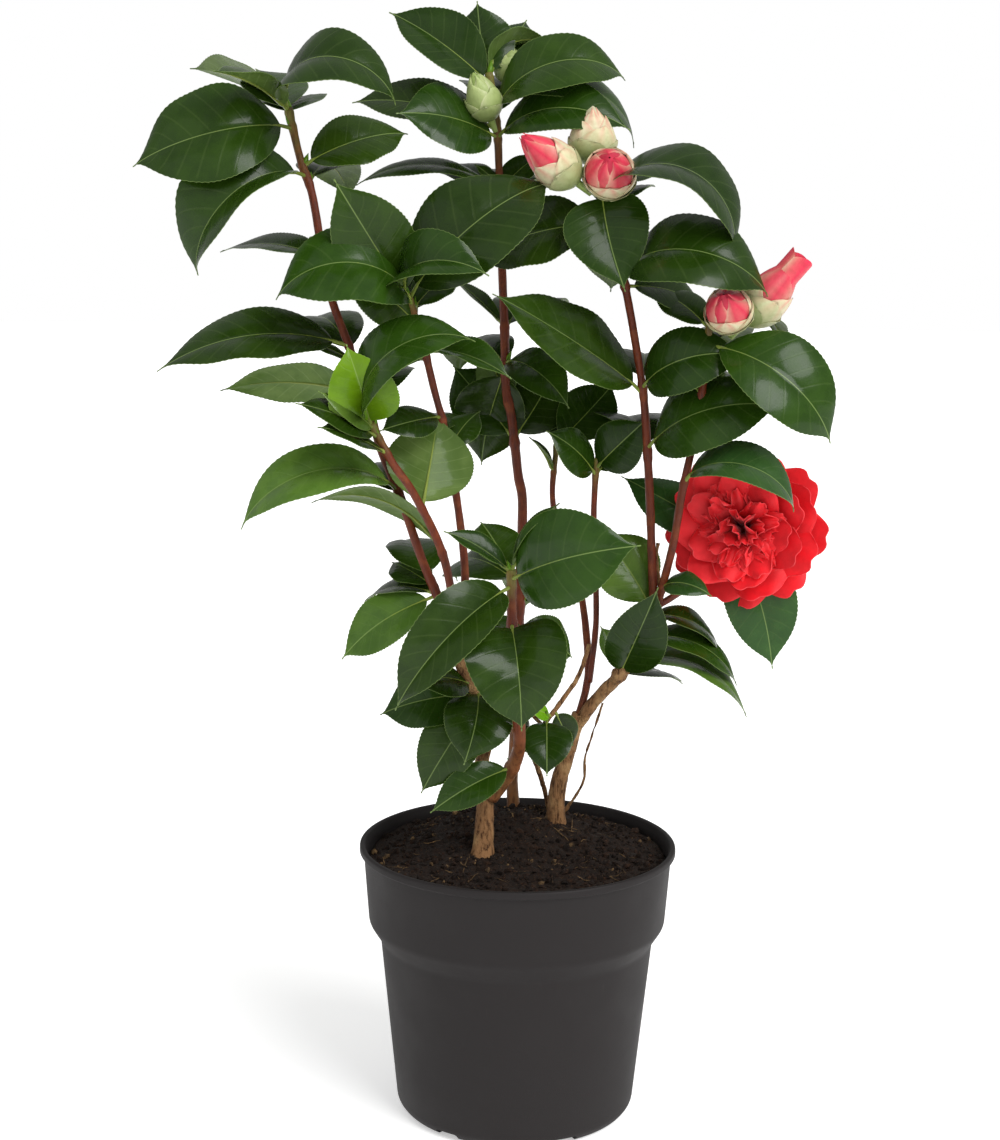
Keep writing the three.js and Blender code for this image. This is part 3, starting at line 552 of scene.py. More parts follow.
def petal_material(settings):
    """Fresh camellia petal: thin, velvety to satin, with fine lengthwise veins and a slightly paler rim."""
    material, node = new_material("fresh_petal")
    red = node("attribute", attribute_name="tint")["Color"]
    blade = node("attribute", attribute_name="blade")["Vector"]
    from_edge = node("split", blade)[2]
    veins = node("noise", blade, 1.4, 3.0, 0.6)
    mottle = grain(node, 160, 3)
    deeper = node("tone", 1.0, red, (0.72, 0.6, 0.6, 1))
    colour = node("mix", node("ease", mottle, 0, 0.5, 0.35, 0.75), red, deeper)
    rim = node("mix", 0.6, red, (*settings.petal_edge, 1.0))
    colour = node("mix", node("ease", from_edge, 0.45, 0, 0.1, 0.9), colour, rim)
    rough = node("ease", mottle, 0.42, 0.6, 0.3, 0.7)
    return finish_surface(material, colour, rough, node("bump", veins, 0.35, 0.0008), IOR=1.42,
                          Sheen_Weight=0.15, Sheen_Roughness=0.4)


def scale_material():
    """Camellia bud scale: leathery, with a fine silky nap that makes it satin."""
    material, node = new_material("bud_scale")
    tint = node("attribute", attribute_name="tint")["Color"]
    mottle = grain(node, 260, 4)
    streak = grain(node, 500, 3, 0.6, (1, 1, 0.3))
    darker = node("tone", 1.0, tint, (0.7, 0.72, 0.6, 1))
    colour = node("mix", node("ease", mottle, 0, 0.6, 0.35, 0.75), tint, darker)
    rough = node("ease", streak, 0.4, 0.6, 0.3, 0.7)
    return finish_surface(material, colour, rough, node("bump", streak, 0.3, 0.0005), IOR=1.45)


# Each kind of bark: the colour of its cracks and of its worn patches, how much the cracks and the patches
# show, its roughness in and out of the relief, and the strength and depth of the relief.
BARKS = {
    "old": ("#432813", "#C09A69", 1.0, 0.55, 0.9, 0.66, 1.0, 0.0022),
    "young": ("#38170B", "#9A5429", 0.6, 0.3, 0.42, 0.6, 0.5, 0.0005),
}


def bark_material(kind):
    """Camellia bark: tan, thin and cracked lengthwise on old wood; smooth red-brown, going green towards
    the tip, on last year's wood."""
    crack, worn, cracked, patched, low, high, strength, depth = BARKS[kind]
    material, node = new_material(kind + "_wood_bark")
    tint = node("attribute", attribute_name="tint")["Color"]
    fissure = grain(node, 420, 6, 0.65, (1, 1, 0.22))
    patch = grain(node, 90, 3)
    speck = grain(node, 1500, 2)
    colour = node("mix", node("ease", fissure, cracked, 0, 0.36, 0.54), tint, hex_colour(crack))
    colour = node("mix", node("ease", patch, 0, patched, 0.48, 0.7), colour, hex_colour(worn))
    colour = node("mix", node("ease", speck, 0, 0.3, 0.6, 0.75), colour, hex_colour(worn))
    rough = node("ease", fissure if kind == "old" else patch, low, high, 0.3, 0.7)
    relief = node("add", fissure, node("multiply", speck, 0.25))
    return finish_surface(material, colour, rough, node("bump", relief, strength, depth), IOR=1.5,
                          Specular_IOR_Level=0.3)


def plastic_material(settings):
    """Injection-moulded recycled polypropylene: charcoal, matt, with a fine pebbled skin, faint level rings
    from the mould and a little dust and scuffing."""
    material, node = new_material("moulded_polypropylene")
    pebble = grain(node, 2600, 2)
    cloud = grain(node, 22, 4)
    scuff = grain(node, 300, 5, 0.7, (1, 1, 0.15))
    rings = grain(node, 900, 2, 0.5, (0.01, 0.01, 1))
    base = (*settings.plastic, 1.0)
    colour = node("mix", node("ease", cloud, 0, 0.35, 0.4, 0.7), base, hex_colour("#262323"))
    colour = node("mix", node("ease", scuff, 0, 0.22, 0.6, 0.8), colour, hex_colour("#37332F"))
    rough = node("ease", cloud, 0.58, 0.7, 0.3, 0.7)
    relief = node("add", node("multiply", pebble, 0.8), node("multiply", rings, 0.5))
    return finish_surface(material, colour, rough, node("bump", relief, 0.25, 0.0003), IOR=1.49,
                          Specular_IOR_Level=0.26)


def soil_material():
    """Moist peat: nearly black brown with lighter crumbs of bark, quite rough."""
    material, node = new_material("moist_peat")
    tint = node("attribute", attribute_name="tint")["Color"]
    clod = grain(node, 260, 6, 0.65)
    speck = grain(node, 1400, 3)
    colour = node("mix", node("ease", clod, 0, 1, 0.35, 0.7), hex_colour("#150C07"), tint)
    colour = node("mix", node("ease", speck, 0, 0.5, 0.58, 0.72), colour, hex_colour("#6B4A30"))
    rough = node("ease", clod, 0.72, 0.95, 0.3, 0.7)
    relief = node("add", clod, node("multiply", speck, 0.4))
    return finish_surface(material, colour, rough, node("bump", relief, 0.9, 0.002), IOR=1.5,
                          Specular_IOR_Level=0.25)


def paper_material():
    """Matt white studio paper with a faint light of its own, so that it stays white round the pot."""
    material, node = new_material("studio_paper")
    cloud = grain(node, 3, 2)
    colour = node("mix", cloud, hex_colour("#F4F4F3"), hex_colour("#F8F8F8"))
    rough = node("ease", cloud, 0.85, 0.95)
    return finish_surface(material, colour, rough, Emission_Color=(1, 1, 1, 1), Emission_Strength=0.42)


# ---------------------------------------------------------------- leaves

BLADE_ROWS = 60
BLADE_COLUMNS = np.array([-1, -0.82, -0.58, -0.32, -0.1, 0, 0.1, 0.32, 0.58, 0.82, 1])
PETIOLE_SHARE = 0.09
TOOTH = 0.22 * MM
SIDE_VEINS = 9
PETIOLE = "#7C8A3C"
# What a row of the layout leaves out: its fold, its green, and a shoulder drawn by chance.
USUAL_LEAF = (20, 0, None)
# A tint's fourth number says how far a point is underside; a blade's three are its place between two side
# veins and its distances in millimetres from the midrib and from the edge.  This is a place without veins.
NO_VEINS = (0.5, 9, 9)


def turned_frame(way, face):
    """Directions above and across a blade whose face is turned from the sky to the front."""
    turned = math.radians(face)
    above = np.array([0, -math.sin(turned), math.cos(turned)])
    above = unit(above - way * (above @ way))
    return above, np.cross(way, above)


def leaf(spray, base, row, settings, rng, petiole_colour):
    """One leaf: a serrated, folded and arched blade with its petiole and its midrib below."""
    arch, face, ratio = row[4:7]
    fold, green, shoulder = (*row[7:], *USUAL_LEAF[len(row) - 7:])
    # The leaves that face away from the front vary by rule.
    if face <= 10 and row[2] > 50:
        arch += rng.uniform(-25, 60)
        face += rng.uniform(-30, 40)
        ratio *= rng.uniform(0.8, 1.05)
    reach = np.array(row[1:4], float) * MM
    chord = np.linalg.norm(reach)
    way = reach / chord
    above, across = turned_frame(way, face)
    bend = math.radians(arch if abs(arch) > 2 else 2)
    radius = chord / 2 / math.sin(bend / 2)
    length = abs(radius * bend)

    def midrib(share):
        angle = bend * (share - 0.5)
        spot = (base + np.outer(chord / 2 + radius * np.sin(angle), way)
                + np.outer(radius * (np.cos(angle) - math.cos(bend / 2)), above))
        return spot, np.outer(np.cos(angle), above) + np.outer(np.sin(angle), way)

    # u runs along the blade from its foot to its tip, and v across it from edge to edge.
    u = np.linspace(0, 1, BLADE_ROWS)
    half = ratio * length * (1 - PETIOLE_SHARE) / 2
    if shoulder is None:
        shoulder = rng.uniform(0.74, 0.88)
    outline = np.sin(np.pi * np.clip(u, 1e-3, 0.999) ** shoulder) ** (0.78 + 1.25 * u ** 7)
    lean = rng.uniform(-0.06, 0.06)
    sway = rng.uniform(-0.035, 0.035) * length
    twist = rng.uniform(-0.16, 0.16)
    cup = rng.uniform(0.16, 0.42)
    waves = [(rng.uniform(0.01, 0.035), rng.uniform(1.6, 2.8), rng.uniform(0, 6.28)) for _ in range(2)]
    lift = math.radians(fold) * (1 - 0.3 * u)
    spot, normal = midrib(PETIOLE_SHARE + (1 - PETIOLE_SHARE) * u)
    spot = spot + np.outer(np.sin(np.pi * u) * sway, across)
    tooth = np.where(np.arange(BLADE_ROWS) % 2 == 0, TOOTH, -TOOTH) * np.sin(np.pi * u) ** 0.3
    top = np.empty((BLADE_ROWS, len(BLADE_COLUMNS), 3))
    blade = np.empty_like(top)
    for k, v in enumerate(BLADE_COLUMNS):
        side = 1 if v > 0 else -1
        width = np.maximum(half * outline * (1 + side * lean), 0.35 * MM)
        if abs(v) == 1:
            width = np.maximum(width + tooth, 0.25 * MM)
        amplitude, count, shift = waves[0 if v < 0 else 1]
        wave = amplitude * np.sin(2 * np.pi * count * u + shift) * v * v
        phase = u * SIDE_VEINS - abs(v) * 1.5 + 4
        quilt = 0.011 * np.sin(2 * np.pi * phase) * abs(v) * (1 - abs(v)) * 4
        rise = width * (np.sin(lift) * abs(v) - cup * v * v * 0.9 + wave * 1.6 + quilt)
        out = width * v * np.cos(lift * 0.8)
        turn = twist * (u - 0.25)
        x = out * np.cos(turn) - rise * np.sin(turn)
        y = out * np.sin(turn) + rise * np.cos(turn)
        top[:, k] = spot + np.outer(x, across) + normal * y[:, None]
        blade[:, k] = np.stack([phase, abs(v) * width / MM, (1 - abs(v)) * width / MM], -1)
    thickness = settings.leaf_thickness * np.tile(1 - 0.35 * np.abs(BLADE_COLUMNS), (BLADE_ROWS, 1))
    # Along crossed with across points down, so the columns are turned round to face the sheet up.
    shape = closed_sheet(top[:, ::-1], thickness)
    blade = blade[:, ::-1].reshape(-1, 3)
    shade = rng.uniform(0.72, 1.3)
    warm = rng.uniform(0.9, 1.12)
    tone = (shade * warm, shade, shade * rng.uniform(0.85, 1.1))
    colour = np.array(getattr(settings, GREENS[green])) * tone
    tints = np.concatenate([np.tile((*colour, side), (len(blade), 1)) for side in (0, 1)])
    spray.add(shape, tints, np.concatenate([blade, blade]))
    share = np.concatenate([np.linspace(-0.01, PETIOLE_SHARE, 6), np.linspace(PETIOLE_SHARE + 0.05, 0.8, 9)])
    line, normal = midrib(share)
    past = np.clip((share - PETIOLE_SHARE) / (1 - PETIOLE_SHARE), 0, 1)
    line = line + np.outer(np.sin(np.pi * past) * sway, across)
    thick = np.interp(share, [-0.01, PETIOLE_SHARE, 0.3, 0.8], [1.25, 1.05, 0.7, 0.25]) * MM
    line = line - normal * np.where(past > 0, thick * 0.55 + 0.15 * MM, 0)[:, None]
    spray.add(tube(line, thick, 7, (0.96, 1.0)), (*petiole_colour, 0.4), NO_VEINS, cell=False)


def side_bud(spray, base, way, length, settings, rng):
    """A small pointed leaf bud in the angle of a leaf."""
    share = np.linspace(0, 1, 8)
    line = base + np.outer(share * length, way)
    girth = length * rng.uniform(0.17, 0.22)
    thick = girth * np.maximum(np.sin(np.pi * np.clip(share * 0.94 + 0.06, 0, 1) ** 0.7), 0.04)
    tint = np.array(settings.new) * rng.uniform(0.7, 1.0)
    spray.add(tube(line, thick, 8), (*tint, 0.3), NO_VEINS)


# ---------------------------------------------------------------- buds and flower

GOLDEN_ANGLE = math.radians(137.5)
BUD_SCALES = 13
OUTER_SCALES = 8
# How far up the bud the outer scales reach: the first one, and how much further each next one does.
LOWEST_SCALE = 0.34
NEXT_SCALE = {"green": 0.085, "cream": 0.072, "pink": 0.05, "opening": 0.05}
BLOOM_RADIUS = 51 * MM
BLOOM_SHIFT = np.array([-3.5, 0, 1.5]) * MM
BLOOM_AXIS = (-0.33, -0.93, 0.14)
# Each row of guard petals: their number, their angles from the axis at the foot and the tip, their length
# and width for the radius, their frill in millimetres and how far forward of the foot the row starts.
GUARD_ROWS = [
    (8, 96, 84, 1.00, 0.98, 0.9, 0.02), (8, 84, 66, 0.96, 0.92, 1.1, 0.08),
    (7, 68, 52, 0.88, 0.80, 1.3, 0.14), (7, 54, 60, 0.76, 0.62, 1.8, 0.18),
]


def bud_girth(share):
    return np.maximum(np.sin(np.pi * np.clip(share, 0.0, 1.0) ** 0.78), 0.0) ** 0.72


def flower_bud(spray, base, tip, width, kind, settings, rng):
    """A fat bud: furled inner petals closed at the tip, and shorter scales in a spiral round their foot."""
    green, cream = np.array(settings.scale_green), np.array(settings.scale_cream)
    red = np.array(settings.petal) * 0.74 + np.array([0.02, 0.012, 0.05])
    inner = {"green": green * 1.05, "cream": cream * 0.95 + red * 0.05}.get(kind, red)
    way = unit(tip - base)
    length = np.linalg.norm(tip - base)
    side = unit(np.cross(way, (0.3, 0.2, 1.0)))
    lift = np.cross(way, side)
    core = np.linspace(0.02, 0.995, 16)
    spray.add(tube(base + np.outer(core * length, way), bud_girth(core) * width * 0.45, 16),
              (*(inner * 0.8), 0), NO_VEINS)
    u, v = np.linspace(0, 1, 14), np.linspace(-1, 1, 11)
    for k in range(BUD_SCALES):
        bearing = GOLDEN_ANGLE * k + rng.uniform(-0.15, 0.15)
        furled = k >= OUTER_SCALES
        opened = kind == "opening" and furled
        if furled:
            low, high, ring = 0.12, rng.uniform(0.95, 1.0), 1.0 - 0.02 * (k - OUTER_SCALES)
        else:
            low, high, ring = 0.0, LOWEST_SCALE + NEXT_SCALE[kind] * k, 1.16 - 0.018 * k
        share = low + (high + (0.112 if opened else 0) - low) * u
        girth = bud_girth(np.clip(share, 0, 0.97)) * width / 2 * ring + 0.5 * MM * u ** 3
        if opened:
            mouth = width * (0.27 + 0.012 * (k - OUTER_SCALES))
            girth = np.maximum(girth, mouth * np.clip((share - 0.3) / 0.3, 0, 1))
            spread = math.radians(84) * (1 - 0.2 * u)
        else:
            spread = math.radians(62 if furled else 78) * np.sqrt(np.clip(1 - u ** 2.6, 0, 1)) + 0.03
        angle = bearing + np.outer(spread, v)
        bulge = girth[:, None] * (1 + 0.03 * (1 - v * v)[None, :])
        height = (share * length)[:, None] - length * (0.09 if opened else 0.05) * np.outer(u ** 2, v * v)
        top = (base + height[..., None] * way + (bulge * np.cos(angle))[..., None] * side
               + (bulge * np.sin(angle))[..., None] * lift)
        shape = closed_sheet(top[:, ::-1], np.full((len(u), len(v)), 0.4 * MM))
        rise, rim = u[:, None, None], (np.abs(v)[None, :, None] ** 3)
        streak = (0.5 + 0.5 * np.sin(v * 11 + k))[None, :, None]
        if furled and kind != "green":
            faded = np.clip(rim * 0.55 + 0.25 * streak * (1 - rise), 0, 1)
            tint = inner * (0.78 + 0.3 * rise) + (cream - inner) * faded
            blush = 0.9 if kind == "cream" else 0.0
            tint = tint + (red - tint) * blush * rise ** 3 * streak
        elif kind == "green":
            tint = green * (0.7 + 0.35 * rise) + (cream - green) * np.clip(rim * 0.35 + 0.2 * rise, 0, 1)
        else:
            pale = np.clip(k / 7 * 0.75 + 0.4 * rise, 0, 1)
            tint = green * (1 - pale) * 0.85 + cream * pale
            tint = tint + (red - tint) * np.clip((k / 7) * rise ** 2 * streak * 0.75, 0, 1)
            # Painted shade: the edges of the outer scales are darker towards their foot, between the
            # overlapping scales.
            tint = tint * (1 - 0.3 * rim * (1 - rise))
        tint = (tint * np.ones((len(u), len(v), 1)) * rng.uniform(0.92, 1.06))[:, ::-1].reshape(-1, 3)
        tints = np.concatenate([tint, tint * 0.8])
        spray.add(shape, np.clip(np.insert(tints, 3, 0, axis=1), 0, 1), NO_VEINS)
    stalk = np.linspace(-0.22, 0.1, 5)
    spray.add(tube(base + np.outer(stalk * length, way), np.linspace(1.6, 2.6, 5) * MM, 9),
              (*settings.scale_green, 0), NO_VEINS)


def petal(spray, base, axis, out, angles, length, width, ruffle, settings, rng, depth, curl=(0.12, 0.3)):
    """One petal that leaves its base at one angle from the flower's axis and curls to another."""
    rows, columns = 17, 17
    u = np.linspace(0, 1, rows)
    v = np.linspace(-1, 1, columns)
    lean = np.radians(angles[0] + (angles[1] - angles[0]) * u ** 1.2)
    way = np.outer(np.cos(lean), axis) + np.outer(np.sin(lean), out)
    spine = base + np.vstack([np.zeros(3), np.cumsum((way[1:] + way[:-1]) / 2, axis=0)]) * length / (rows - 1)
    across = np.cross(axis, out)
    normal = np.cross(way, across)
    open_width = 0.16 + 0.84 * np.clip(u / 0.5, 0, 1) ** 0.8
    half = width / 2 * open_width * (1 - 0.3 * np.clip((u - 0.6) / 0.4, 0, 1) ** 2)
    waves = rng.uniform(1.2, 2.6)
    shift = rng.uniform(0, 6.28)
    cup = rng.uniform(*curl)
    x = np.outer(half, v)
    hollow = cup * np.outer(half, v * v)
    frill = ruffle * np.outer(u ** 2.5, np.sin(waves * np.pi * v + shift) * (0.35 + 0.65 * np.abs(v)))
    notch = -0.05 * length * np.outer(u ** 5, np.exp(-(v / 0.22) ** 2))
    back = -0.34 * length * np.outer(u ** 1.6, np.abs(v) ** 2.6)
    top = (spine[:, None, :] + x[..., None] * across - (hollow + frill)[..., None] * normal[:, None, :]
           + (notch + back)[..., None] * way[:, None, :])
    # Painted shade: each petal is darker towards its foot, and a lower depth, given to the inner rows and the
    # small inner petals, keeps it darker further out.
    deep, bright = np.array(settings.petal_painted_shade), np.array(settings.petal)
    out_of_shade = np.clip(u * 1.25 - 0.1, 0, 1)[:, None, None] * (0.75 + 0.25 * depth)
    tint = (deep * (1 - out_of_shade) + bright * out_of_shade) * np.ones((1, columns, 1)) * rng.uniform(0.88, 1.1)
    tint = np.insert(np.clip(tint, 0, 1).reshape(-1, 3), 3, 0, axis=1)
    along, beside, from_side = (u * length / MM)[:, None], x / MM, half[:, None] / MM * (1 - np.abs(v))
    from_edge = np.minimum(from_side, length / MM - along)
    blade = np.stack([np.broadcast_to(along * 0.15, x.shape), beside * 2.5, from_edge], -1).reshape(-1, 3)
    spray.add(closed_sheet(top, np.full((rows, columns), 0.35 * MM)), np.concatenate([tint, tint]),
              np.concatenate([blade, blade]))


def open_flower(spray, centre, settings, rng):
    """The peony-form flower: rows of broad guard petals round a dome of small curled ones."""
    radius, axis = BLOOM_RADIUS, unit(np.array(BLOOM_AXIS))
    side = unit(np.cross(axis, (0, 0, 1)))
    lift = np.cross(side, axis)
    foot = centre - axis * radius * 0.34

    def outwards(bearing):
        return math.cos(bearing) * side + math.sin(bearing) * lift

    # The last number for each petal is its depth: each row further in is let less far out of the painted
    # shade, and the small inner petals less still, at random.
    for k, (count, start, end, long, wide, frill, forward) in enumerate(GUARD_ROWS):
        for i in range(count):
            bearing = 2 * math.pi * (i + 0.5 * (k % 2)) / count + rng.uniform(-0.12, 0.12)
            angles = (start + rng.uniform(-4, 4), end + rng.uniform(-9, 9))
            petal(spray, foot + axis * radius * forward, axis, outwards(bearing), angles,
                  radius * long * rng.uniform(0.95, 1.03), radius * wide * rng.uniform(0.9, 1.08),
                  frill * MM, settings, rng, 1 - 0.1 * k)
    for k in range(settings.petaloids):
        share = math.sqrt((k + 0.5) / settings.petaloids)
        bearing = GOLDEN_ANGLE * k + rng.uniform(-0.3, 0.3)
        tilt = math.radians(4 + 60 * share + rng.uniform(-12, 12))
        out = outwards(bearing)
        start = foot + axis * radius * 0.30 + out * radius * 0.20 * share
        spin = rng.uniform(-0.9, 0.9)
        away = math.cos(spin) * out + math.sin(spin) * np.cross(axis, out)
        lean = unit(axis * math.cos(tilt) + out * math.sin(tilt))
        away = unit(away - lean * (away @ lean))
        angles = (rng.uniform(-8, 8), rng.uniform(40, 130) if k > 7 else rng.uniform(0, 30))
        petal(spray, start, lean, away, angles, radius * rng.uniform(0.34, 0.48),
              radius * rng.uniform(0.22, 0.36), rng.uniform(1.6, 3.0) * MM, settings, rng,
              rng.uniform(0.55, 0.95), (0.35, 1.0))


# ---------------------------------------------------------------- wood

ROOTED = 9
# For each kind of wood: how much slimmer or fuller its feet and tips are drawn than the CAD's, the step of
# its centre line, the fineness of its section and the height of its lumps and depth of its cracks.
WOODS = {"old": (0.82, 0.85, 1.6, 8, 0.55, 0.5), "young": (0.9, 1.18, 2.6, 4, 0.14, 0.05)}


def wood_object(name, stem, strip, strips, settings, rng):
    """One stem: a bevelled curve made a mesh, with node rings, root flare and bark relief."""
    old = stem["bark"] == "old"
    foot_share, tip_share, step, fineness, lumps, cracks = WOODS[stem["bark"]]
    path = list(stem["path"])
    if path[0][2] < 170:
        path.insert(0, (path[0][0], path[0][1], path[0][2] - ROOTED))
    line = smooth_path(path, step)
    share = np.linspace(0, 1, len(line))
    foot, tip = stem["foot"] * foot_share, stem["tip"] * tip_share
    radius = foot + (tip - foot) * share
    if stem.get("flare"):
        above = np.maximum(line[:, 2] - line[0, 2] - ROOTED, 0)
        radius = radius * (1 + 0.3 * np.exp(-above / 7))
    for height in stem["nodes"]:
        radius = radius * (1 + 0.2 * np.exp(-((line[:, 2] - height) / 1.8) ** 2))
    seed = rng.uniform(0, 50)
    wander = [noise.noise(Vector((k * 0.21 + seed, seed, 0))) for k in range(len(line))]
    radius = radius * np.array([1 + 0.07 * far for far in wander])
    data = bpy.data.curves.new(name, "CURVE")
    data.dimensions = "3D"
    data.bevel_depth = 1.0
    data.bevel_resolution = fineness
    data.use_fill_caps = True
    spline = data.splines.new("POLY")
    spline.points.add(len(line) - 1)
    places = np.concatenate([line * MM + np.array(CENTRE), np.ones((len(line), 1))], 1)
    spline.points.foreach_set("co", places.ravel())
    spline.points.foreach_set("radius", radius * MM)
    drawn = bpy.data.objects.new(name, data)
    bpy.context.scene.collection.objects.link(drawn)
    mesh = finished_mesh(drawn)
    bpy.data.objects.remove(drawn)
    bpy.data.curves.remove(data)
    shape = bmesh.new()
    shape.from_mesh(mesh)
    bmesh.ops.remove_doubles(shape, verts=shape.verts, dist=1e-6)
    bmesh.ops.recalc_face_normals(shape, faces=shape.faces)
    shape.normal_update()
    for vertex in shape.verts:
        x, y, z = vertex.co
        lump = noise.noise(Vector((x * 160, y * 160, z * 110)))
        crack = abs(noise.noise(Vector((x * 520, y * 520, z * 95 + seed))))
        vertex.co += vertex.normal * (lumps * lump - cracks * max(0, 0.22 - crack) * 4) * MM
    shape.to_mesh(mesh)
    shape.free()
    layer = mesh.uv_layers[0]
    layer.name = "OFBake"
    uv = np.empty(len(mesh.loops) * 2, np.float32)
    layer.uv.foreach_get("vector", uv)
    uv = uv.reshape(-1, 2)
    uv = np.stack([(strip + 0.03 + 0.94 * uv[:, 0]) / strips, 0.01 + 0.98 * uv[:, 1]], -1)
    layer.uv.foreach_set("vector", uv.astype(np.float32).ravel())
    points = np.empty(len(mesh.vertices) * 3)
    mesh.vertices.foreach_get("co", points)
    points = (points.reshape(-1, 3) - np.array(CENTRE)) / MM
    nearest = np.argmin(((points[:, None] - line[None, ::2]) ** 2).sum(-1), axis=1) * 2
    along = share[np.clip(nearest, 0, len(share) - 1)]
    bark, green = np.array(settings.old_bark if old else settings.young_bark), np.array(linear("#6E7A35"))
    fresh = np.clip((along - 0.86) / 0.14, 0, 1)[:, None] * (0.0 if old else 0.7)
    tint = bark * (1 - fresh) + green * fresh
    # Below 250 mm the bark of every stem has aged.
    aged = np.clip((250 - points[:, 2]) / 50, 0, 1)[:, None] * 0.8
    tint = tint * (1 - aged) + np.array(settings.old_bark) * aged
    set_attribute(mesh, "tint", "FLOAT_COLOR", np.insert(tint, 3, 1, axis=1))
    return new_object(name, mesh)


def joined_objects(objects, name, material):
    """Several mesh objects joined into one piece of one material."""
    first = objects[0]
    with bpy.context.temp_override(active_object=first, object=first, selected_objects=objects,
                                   selected_editable_objects=objects):
        bpy.ops.object.join()
    first.name = first.data.name = name
    first.data.materials.clear()
    first.data.materials.append(material)
    return first


# ---------------------------------------------------------------- pot and soil

# Outside radius at the skirt's top, and radius and height at its foot and at the top of the tapering body,
# in millimetres.
SKIRT_RADIUS = 92.4
SKIRT_FOOT = (89.3, 117)
BODY_TOP = (82.3, 106)
DRAIN_BEARINGS = [math.radians(-125 + 60 * k) for k in range(6)]
# The channels under the floor: where they start, and their length, width and height with the part below.
CHANNEL_START = 27
CHANNEL = (70, 15, 8)
HOLE_RADIUS, HOLE_PLACE = 5, 48
SOIL_EDGE = 89.3
SOIL_LEVEL = 154
SOIL_REACH = 88
# The low mound round the stems: how far back it lies, its reach and its height.
MOUND_PLACE, MOUND_REACH, MOUND = 38, 52, 14
CRUMBS = 2600
FIBRES = 85


def rounded_profile(corners, steps=5):
    """A profile of (radius, height, rounding) corners as plain points, with an arc at each rounded one."""
    points = []
    t = np.linspace(0, 1, steps)[:, None]
    for k, (r, z, rounding) in enumerate(corners):
        if not rounding:
            points.append((r, z))
            continue
        before, corner, after = (np.array(place[:2], float) for place in corners[k - 1:k + 2])
        start = corner + unit(before - corner) * rounding
        end = corner + unit(after - corner) * rounding
        points += [tuple(p) for p in (1 - t) ** 2 * start + 2 * t * (1 - t) * corner + t ** 2 * end]
    return points


def turned_object(name, profile, steps):
    """A profile in millimetres spun round the pot's axis."""
    shape = bmesh.new()
    verts = [shape.verts.new(CENTRE + Vector((r, 0, z)) * MM) for r, z in profile]
    edges = [shape.edges.new(pair) for pair in zip(verts, verts[1:])]
    bmesh.ops.spin(shape, geom=verts + edges, cent=CENTRE, axis=(0, 0, 1), angle=2 * math.pi, steps=steps,
                   use_merge=True)
    bmesh.ops.remove_doubles(shape, verts=shape.verts, dist=1e-6)
    bmesh.ops.recalc_face_normals(shape, faces=shape.faces)
    return shaped_object(name, shape)


def wall_at(settings, height):
    """Radius of the pot's tapering body at a height, in millimetres."""
    foot = settings.foot_radius / MM
    return foot + (BODY_TOP[0] - foot) * min(height / BODY_TOP[1], 1)


def drain_channels():
    """Bars with rounded tops that cut the channels into the pot's underside."""
    shape = bmesh.new()
    for bearing in DRAIN_BEARINGS:
        way = Vector((math.cos(bearing), math.sin(bearing), 0))
        turn = Vector((1, 0, 0)).rotation_difference(way).to_matrix()
        bar = bmesh.ops.create_cube(shape, size=1.0)["verts"]
        bmesh.ops.scale(shape, verts=bar, vec=[side * MM for side in CHANNEL])
        bmesh.ops.rotate(shape, verts=bar, matrix=turn)
        bmesh.ops.translate(shape, verts=bar, vec=CENTRE + way * (CHANNEL_START + CHANNEL[0] / 2) * MM)
        top = [edge for edge in shape.edges
               if all(vert in bar and vert.co.z > CENTRE.z + 3 * MM for vert in edge.verts)]
        bmesh.ops.bevel(shape, geom=top, offset=1.6 * MM, segments=3, profile=0.5, affect="EDGES",
                        material=-1)
    return shaped_object("drain_cutter", shape)


def drain_holes():
    """Round bars that cut a hole through the floor at each channel."""
    shape = bmesh.new()
    for bearing in DRAIN_BEARINGS:
        way = Vector((math.cos(bearing), math.sin(bearing), 0))
        hole = bmesh.ops.create_cone(shape, segments=24, radius1=HOLE_RADIUS * MM, radius2=HOLE_RADIUS * MM,
                                     depth=30 * MM, cap_ends=True)["verts"]
        bmesh.ops.translate(shape, verts=hole, vec=CENTRE + way * HOLE_PLACE * MM)
    return shaped_object("drain_holes", shape)


def pot_object(settings):
    rim, top, wall = settings.rim_radius / MM, settings.height / MM, settings.wall / MM
    foot = settings.foot_radius / MM
    profile = rounded_profile([
        (0, 1.6, 0), (24, 1.6, 1), (26, 0.0, 0.6), (foot - 4.5, 0.0, 1), (foot - 2.6, 0.9, 0.8),
        (wall_at(settings, 4.5), 4.5, 2.6), (wall_at(settings, 60), 60, 0), (*BODY_TOP, 2.2),
        (*SKIRT_FOOT, 2.2), (SKIRT_RADIUS + 0.1, top - 5.2, 0.8), (rim, top - 4.2, 0.7),
        (rim - 0.1, top, 1.5), (rim - 3.0, top, 1.2),
        (SKIRT_RADIUS - wall, top - 5, 1.5), (SKIRT_FOOT[0] - wall, 118, 1.5),
        (BODY_TOP[0] - wall, 107, 1.5), (foot - wall + 0.6, 7, 2.0), (0, 7, 0),
    ])
    pot = turned_object("pot_body", profile, 144)
    cutters = (drain_channels(), drain_holes())
    for cutter in cutters:
        cut = pot.modifiers.new(cutter.name, "BOOLEAN")
        cut.operation = "DIFFERENCE"
        cut.solver = "EXACT"
        cut.object = cutter
    mesh, spare = finished_mesh(pot), pot.data
    pot.modifiers.clear()
    pot.data = mesh
    bpy.data.meshes.remove(spare)
    for cutter in cutters:
        bpy.data.objects.remove(cutter)
    mesh.polygons.foreach_set("use_smooth", np.ones(len(mesh.polygons), bool))
    mesh.set_sharp_from_angle(angle=math.radians(32))
    return pot


